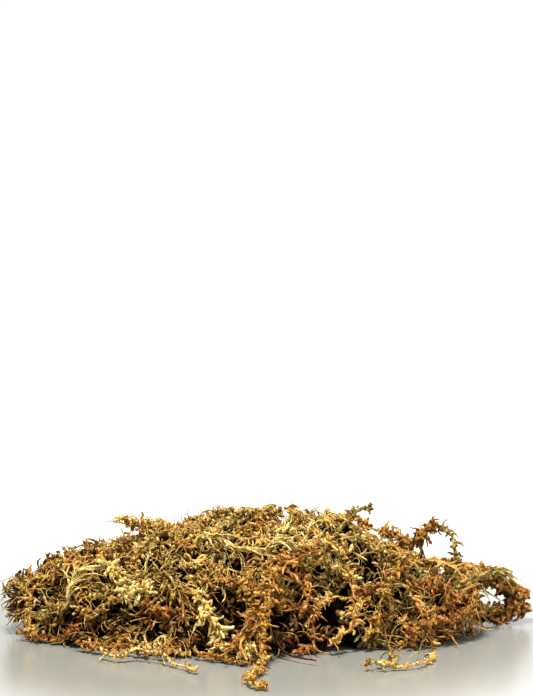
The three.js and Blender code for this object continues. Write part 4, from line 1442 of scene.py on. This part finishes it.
def moss_material(name, group, specular=0.2):
    """The shared finish on a Principled shader, fed from each point's growth."""
    material = bpy.data.materials.new(name)
    material.use_nodes = True
    tree = material.node_tree
    shader = tree.nodes["Principled BSDF"]
    data = tree.nodes.new("ShaderNodeAttribute")
    data.attribute_name = "growth"
    finish = tree.nodes.new("ShaderNodeGroup")
    finish.node_tree = group
    bump = tree.nodes.new("ShaderNodeBump")
    bump.inputs["Strength"].default_value = 0.5
    bump.inputs["Distance"].default_value = 0.0004
    tree.links.new(data.outputs["Color"], finish.inputs["Growth"])
    tree.links.new(data.outputs["Alpha"], finish.inputs["Ridge"])
    tree.links.new(finish.outputs["Colour"], shader.inputs["Base Color"])
    tree.links.new(finish.outputs["Roughness"], shader.inputs["Roughness"])
    tree.links.new(finish.outputs["Height"], bump.inputs["Height"])
    tree.links.new(bump.outputs[0], shader.inputs["Normal"])
    shader.inputs["Specular IOR Level"].default_value = specular
    return material


materials = {s: moss_material(f"moss_{s}", group) for s in SLOT_TONE}
matt = moss_material("moss_deep", group, 0.0)
for name, (batches, slot_name, node) in pieces.items():
    make_piece(name, batches, node,
               matt if name == "mat_core" else materials[slot_name])
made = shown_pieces()
print("made", len(made), "pieces;", sum(len(o.data.polygons) for o in made), "faces")

# %% [markdown]
# ## The table
#
# The heap lies on a pale glossy table with no far edge. A curved studio backdrop would show its
# bend in the gloss. A large flat plate does it instead, which glows towards white away from the
# moss, so that it runs into the white behind it. It isn't part of the moss, so it isn't attached
# to the body.

# %% The table
FAR = 12.0  # metres to its edge
BELOW = -0.0002  # a hair under the moss, so that the two never share a face
GLOW = (0.125, 0.36)  # metres from the middle where it starts to glow, and is white
floor_mesh = bpy.data.meshes.new("floor")
corners = [(x * FAR, y * FAR, BELOW) for x, y in ((-1, -1), (1, -1), (1, 1), (-1, 1))]
floor_mesh.from_pydata(corners, [], [(0, 1, 2, 3)])
floor = bpy.data.objects.new("floor", floor_mesh)
bpy.context.scene.collection.objects.link(floor)
floor_look = bpy.data.materials.new("floor_look")
floor_look.use_nodes = True
tree = floor_look.node_tree
shader = tree.nodes["Principled BSDF"]
shader.inputs["Base Color"].default_value = (0.3, 0.298, 0.255, 1)
shader.inputs["Roughness"].default_value = 0.2
shader.inputs["Specular IOR Level"].default_value = 0.5
shader.inputs["Emission Color"].default_value = (1, 1, 1, 1)
away = tree.nodes.new("ShaderNodeVectorMath")
away.operation = "LENGTH"
middle = tree.nodes.new("ShaderNodeVectorMath")
middle.inputs[1].default_value = (0.03, 0, 0)
tree.links.new(tree.nodes.new("ShaderNodeTexCoord").outputs["Object"], middle.inputs[0])
tree.links.new(middle.outputs[0], away.inputs[0])
glow = tree.nodes.new("ShaderNodeMapRange")
glow.interpolation_type = "SMOOTHSTEP"
for socket, value in zip(list(glow.inputs)[1:5], (*GLOW, 0.0, 1.0)):
    socket.default_value = value
tree.links.new(away.outputs["Value"], glow.inputs[0])
tree.links.new(glow.outputs[0], shader.inputs["Emission Strength"])
floor_mesh.materials.append(floor_look)
print(f"table: {2 * FAR:.0f} m wide, white from {GLOW[1]} m on")

# %% [markdown]
# ## The white behind it
#
# The background has to look white, but a world that bright would light the moss flat from every
# side and wash out its gaps. The Light Path node tells what a ray is for: for those that the
# camera sees, straight or in the gloss, the world is white, and for all others it is dim.

# %% The white behind it
WHITE, DIM = 1.05, 0.28  # its strength where it is seen, and as a light
world = bpy.data.worlds.new("pale_studio")
world.use_nodes = True
tree = world.node_tree
back = tree.nodes["Background"]
back.inputs[0].default_value = (0.97, 0.98, 1, 1)
rays = tree.nodes.new("ShaderNodeLightPath")
seen = maths(tree, "MAXIMUM", rays.outputs["Is Camera Ray"], rays.outputs["Is Glossy Ray"])
tree.links.new(maths(tree, "MULTIPLY_ADD", seen, WHITE - DIM, DIM), back.inputs[1])
bpy.context.scene.world = world
print("the world is", round(WHITE / DIM, 1), "times brighter to look at than as a light")

# %% [markdown]
# ## Lamps
#
# Dried moss gets its depth from small hard-edged shadows. A large softbox would fill them and a
# point lamp would burn them black. The key lamp is a small disc high above and a little in
# front, which throws shadows down into the gaps, and a weak broad one in front opens them.

# %% Lamps


def disc_lamp(name, place, size, power, aim=(0, 0, 0.03)):
    """A round area lamp in metres and watts, turned so that it shines at aim."""
    data = bpy.data.lights.new(name, "AREA")
    data.shape, data.size, data.energy = "DISK", size, power
    ob = bpy.data.objects.new(name, data)
    ob.location = place
    ob.rotation_euler = (Vector(aim) - Vector(place)).to_track_quat("-Z", "Y").to_euler()
    bpy.context.scene.collection.objects.link(ob)


disc_lamp("key_light", (-0.1, -0.45, 1.0), 0.25, 21)
disc_lamp("front_light", (0.7, -1.3, 0.7), 0.8, 5)
print("lamps:", ", ".join(lamp.name for lamp in bpy.data.lights))

# %% [markdown]
# ## Camera
#
# The camera looks level from the front, a little above the heap, so that upright things stay
# upright. A short lens close by would swell the middle, so it is a long one from further off.

# %% Camera
SENSOR = 36  # millimetres along the longer side
camera_data = bpy.data.cameras.new("camera")
camera_data.sensor_width = SENSOR
camera_data.lens = SENSOR * 1500 / 696
camera_data.clip_start = 0.05
camera = bpy.data.objects.new("camera", camera_data)
camera.location = (0, -0.85, 0.161)
camera.rotation_euler = (math.pi / 2, 0, 0)  # level, along y
bpy.context.scene.collection.objects.link(camera)
bpy.context.scene.camera = camera
bpy.context.scene.view_settings.view_transform = "Standard"
print(f"lens: {camera_data.lens:.1f} mm, {-camera.location.y:.2f} m from the heap's middle")
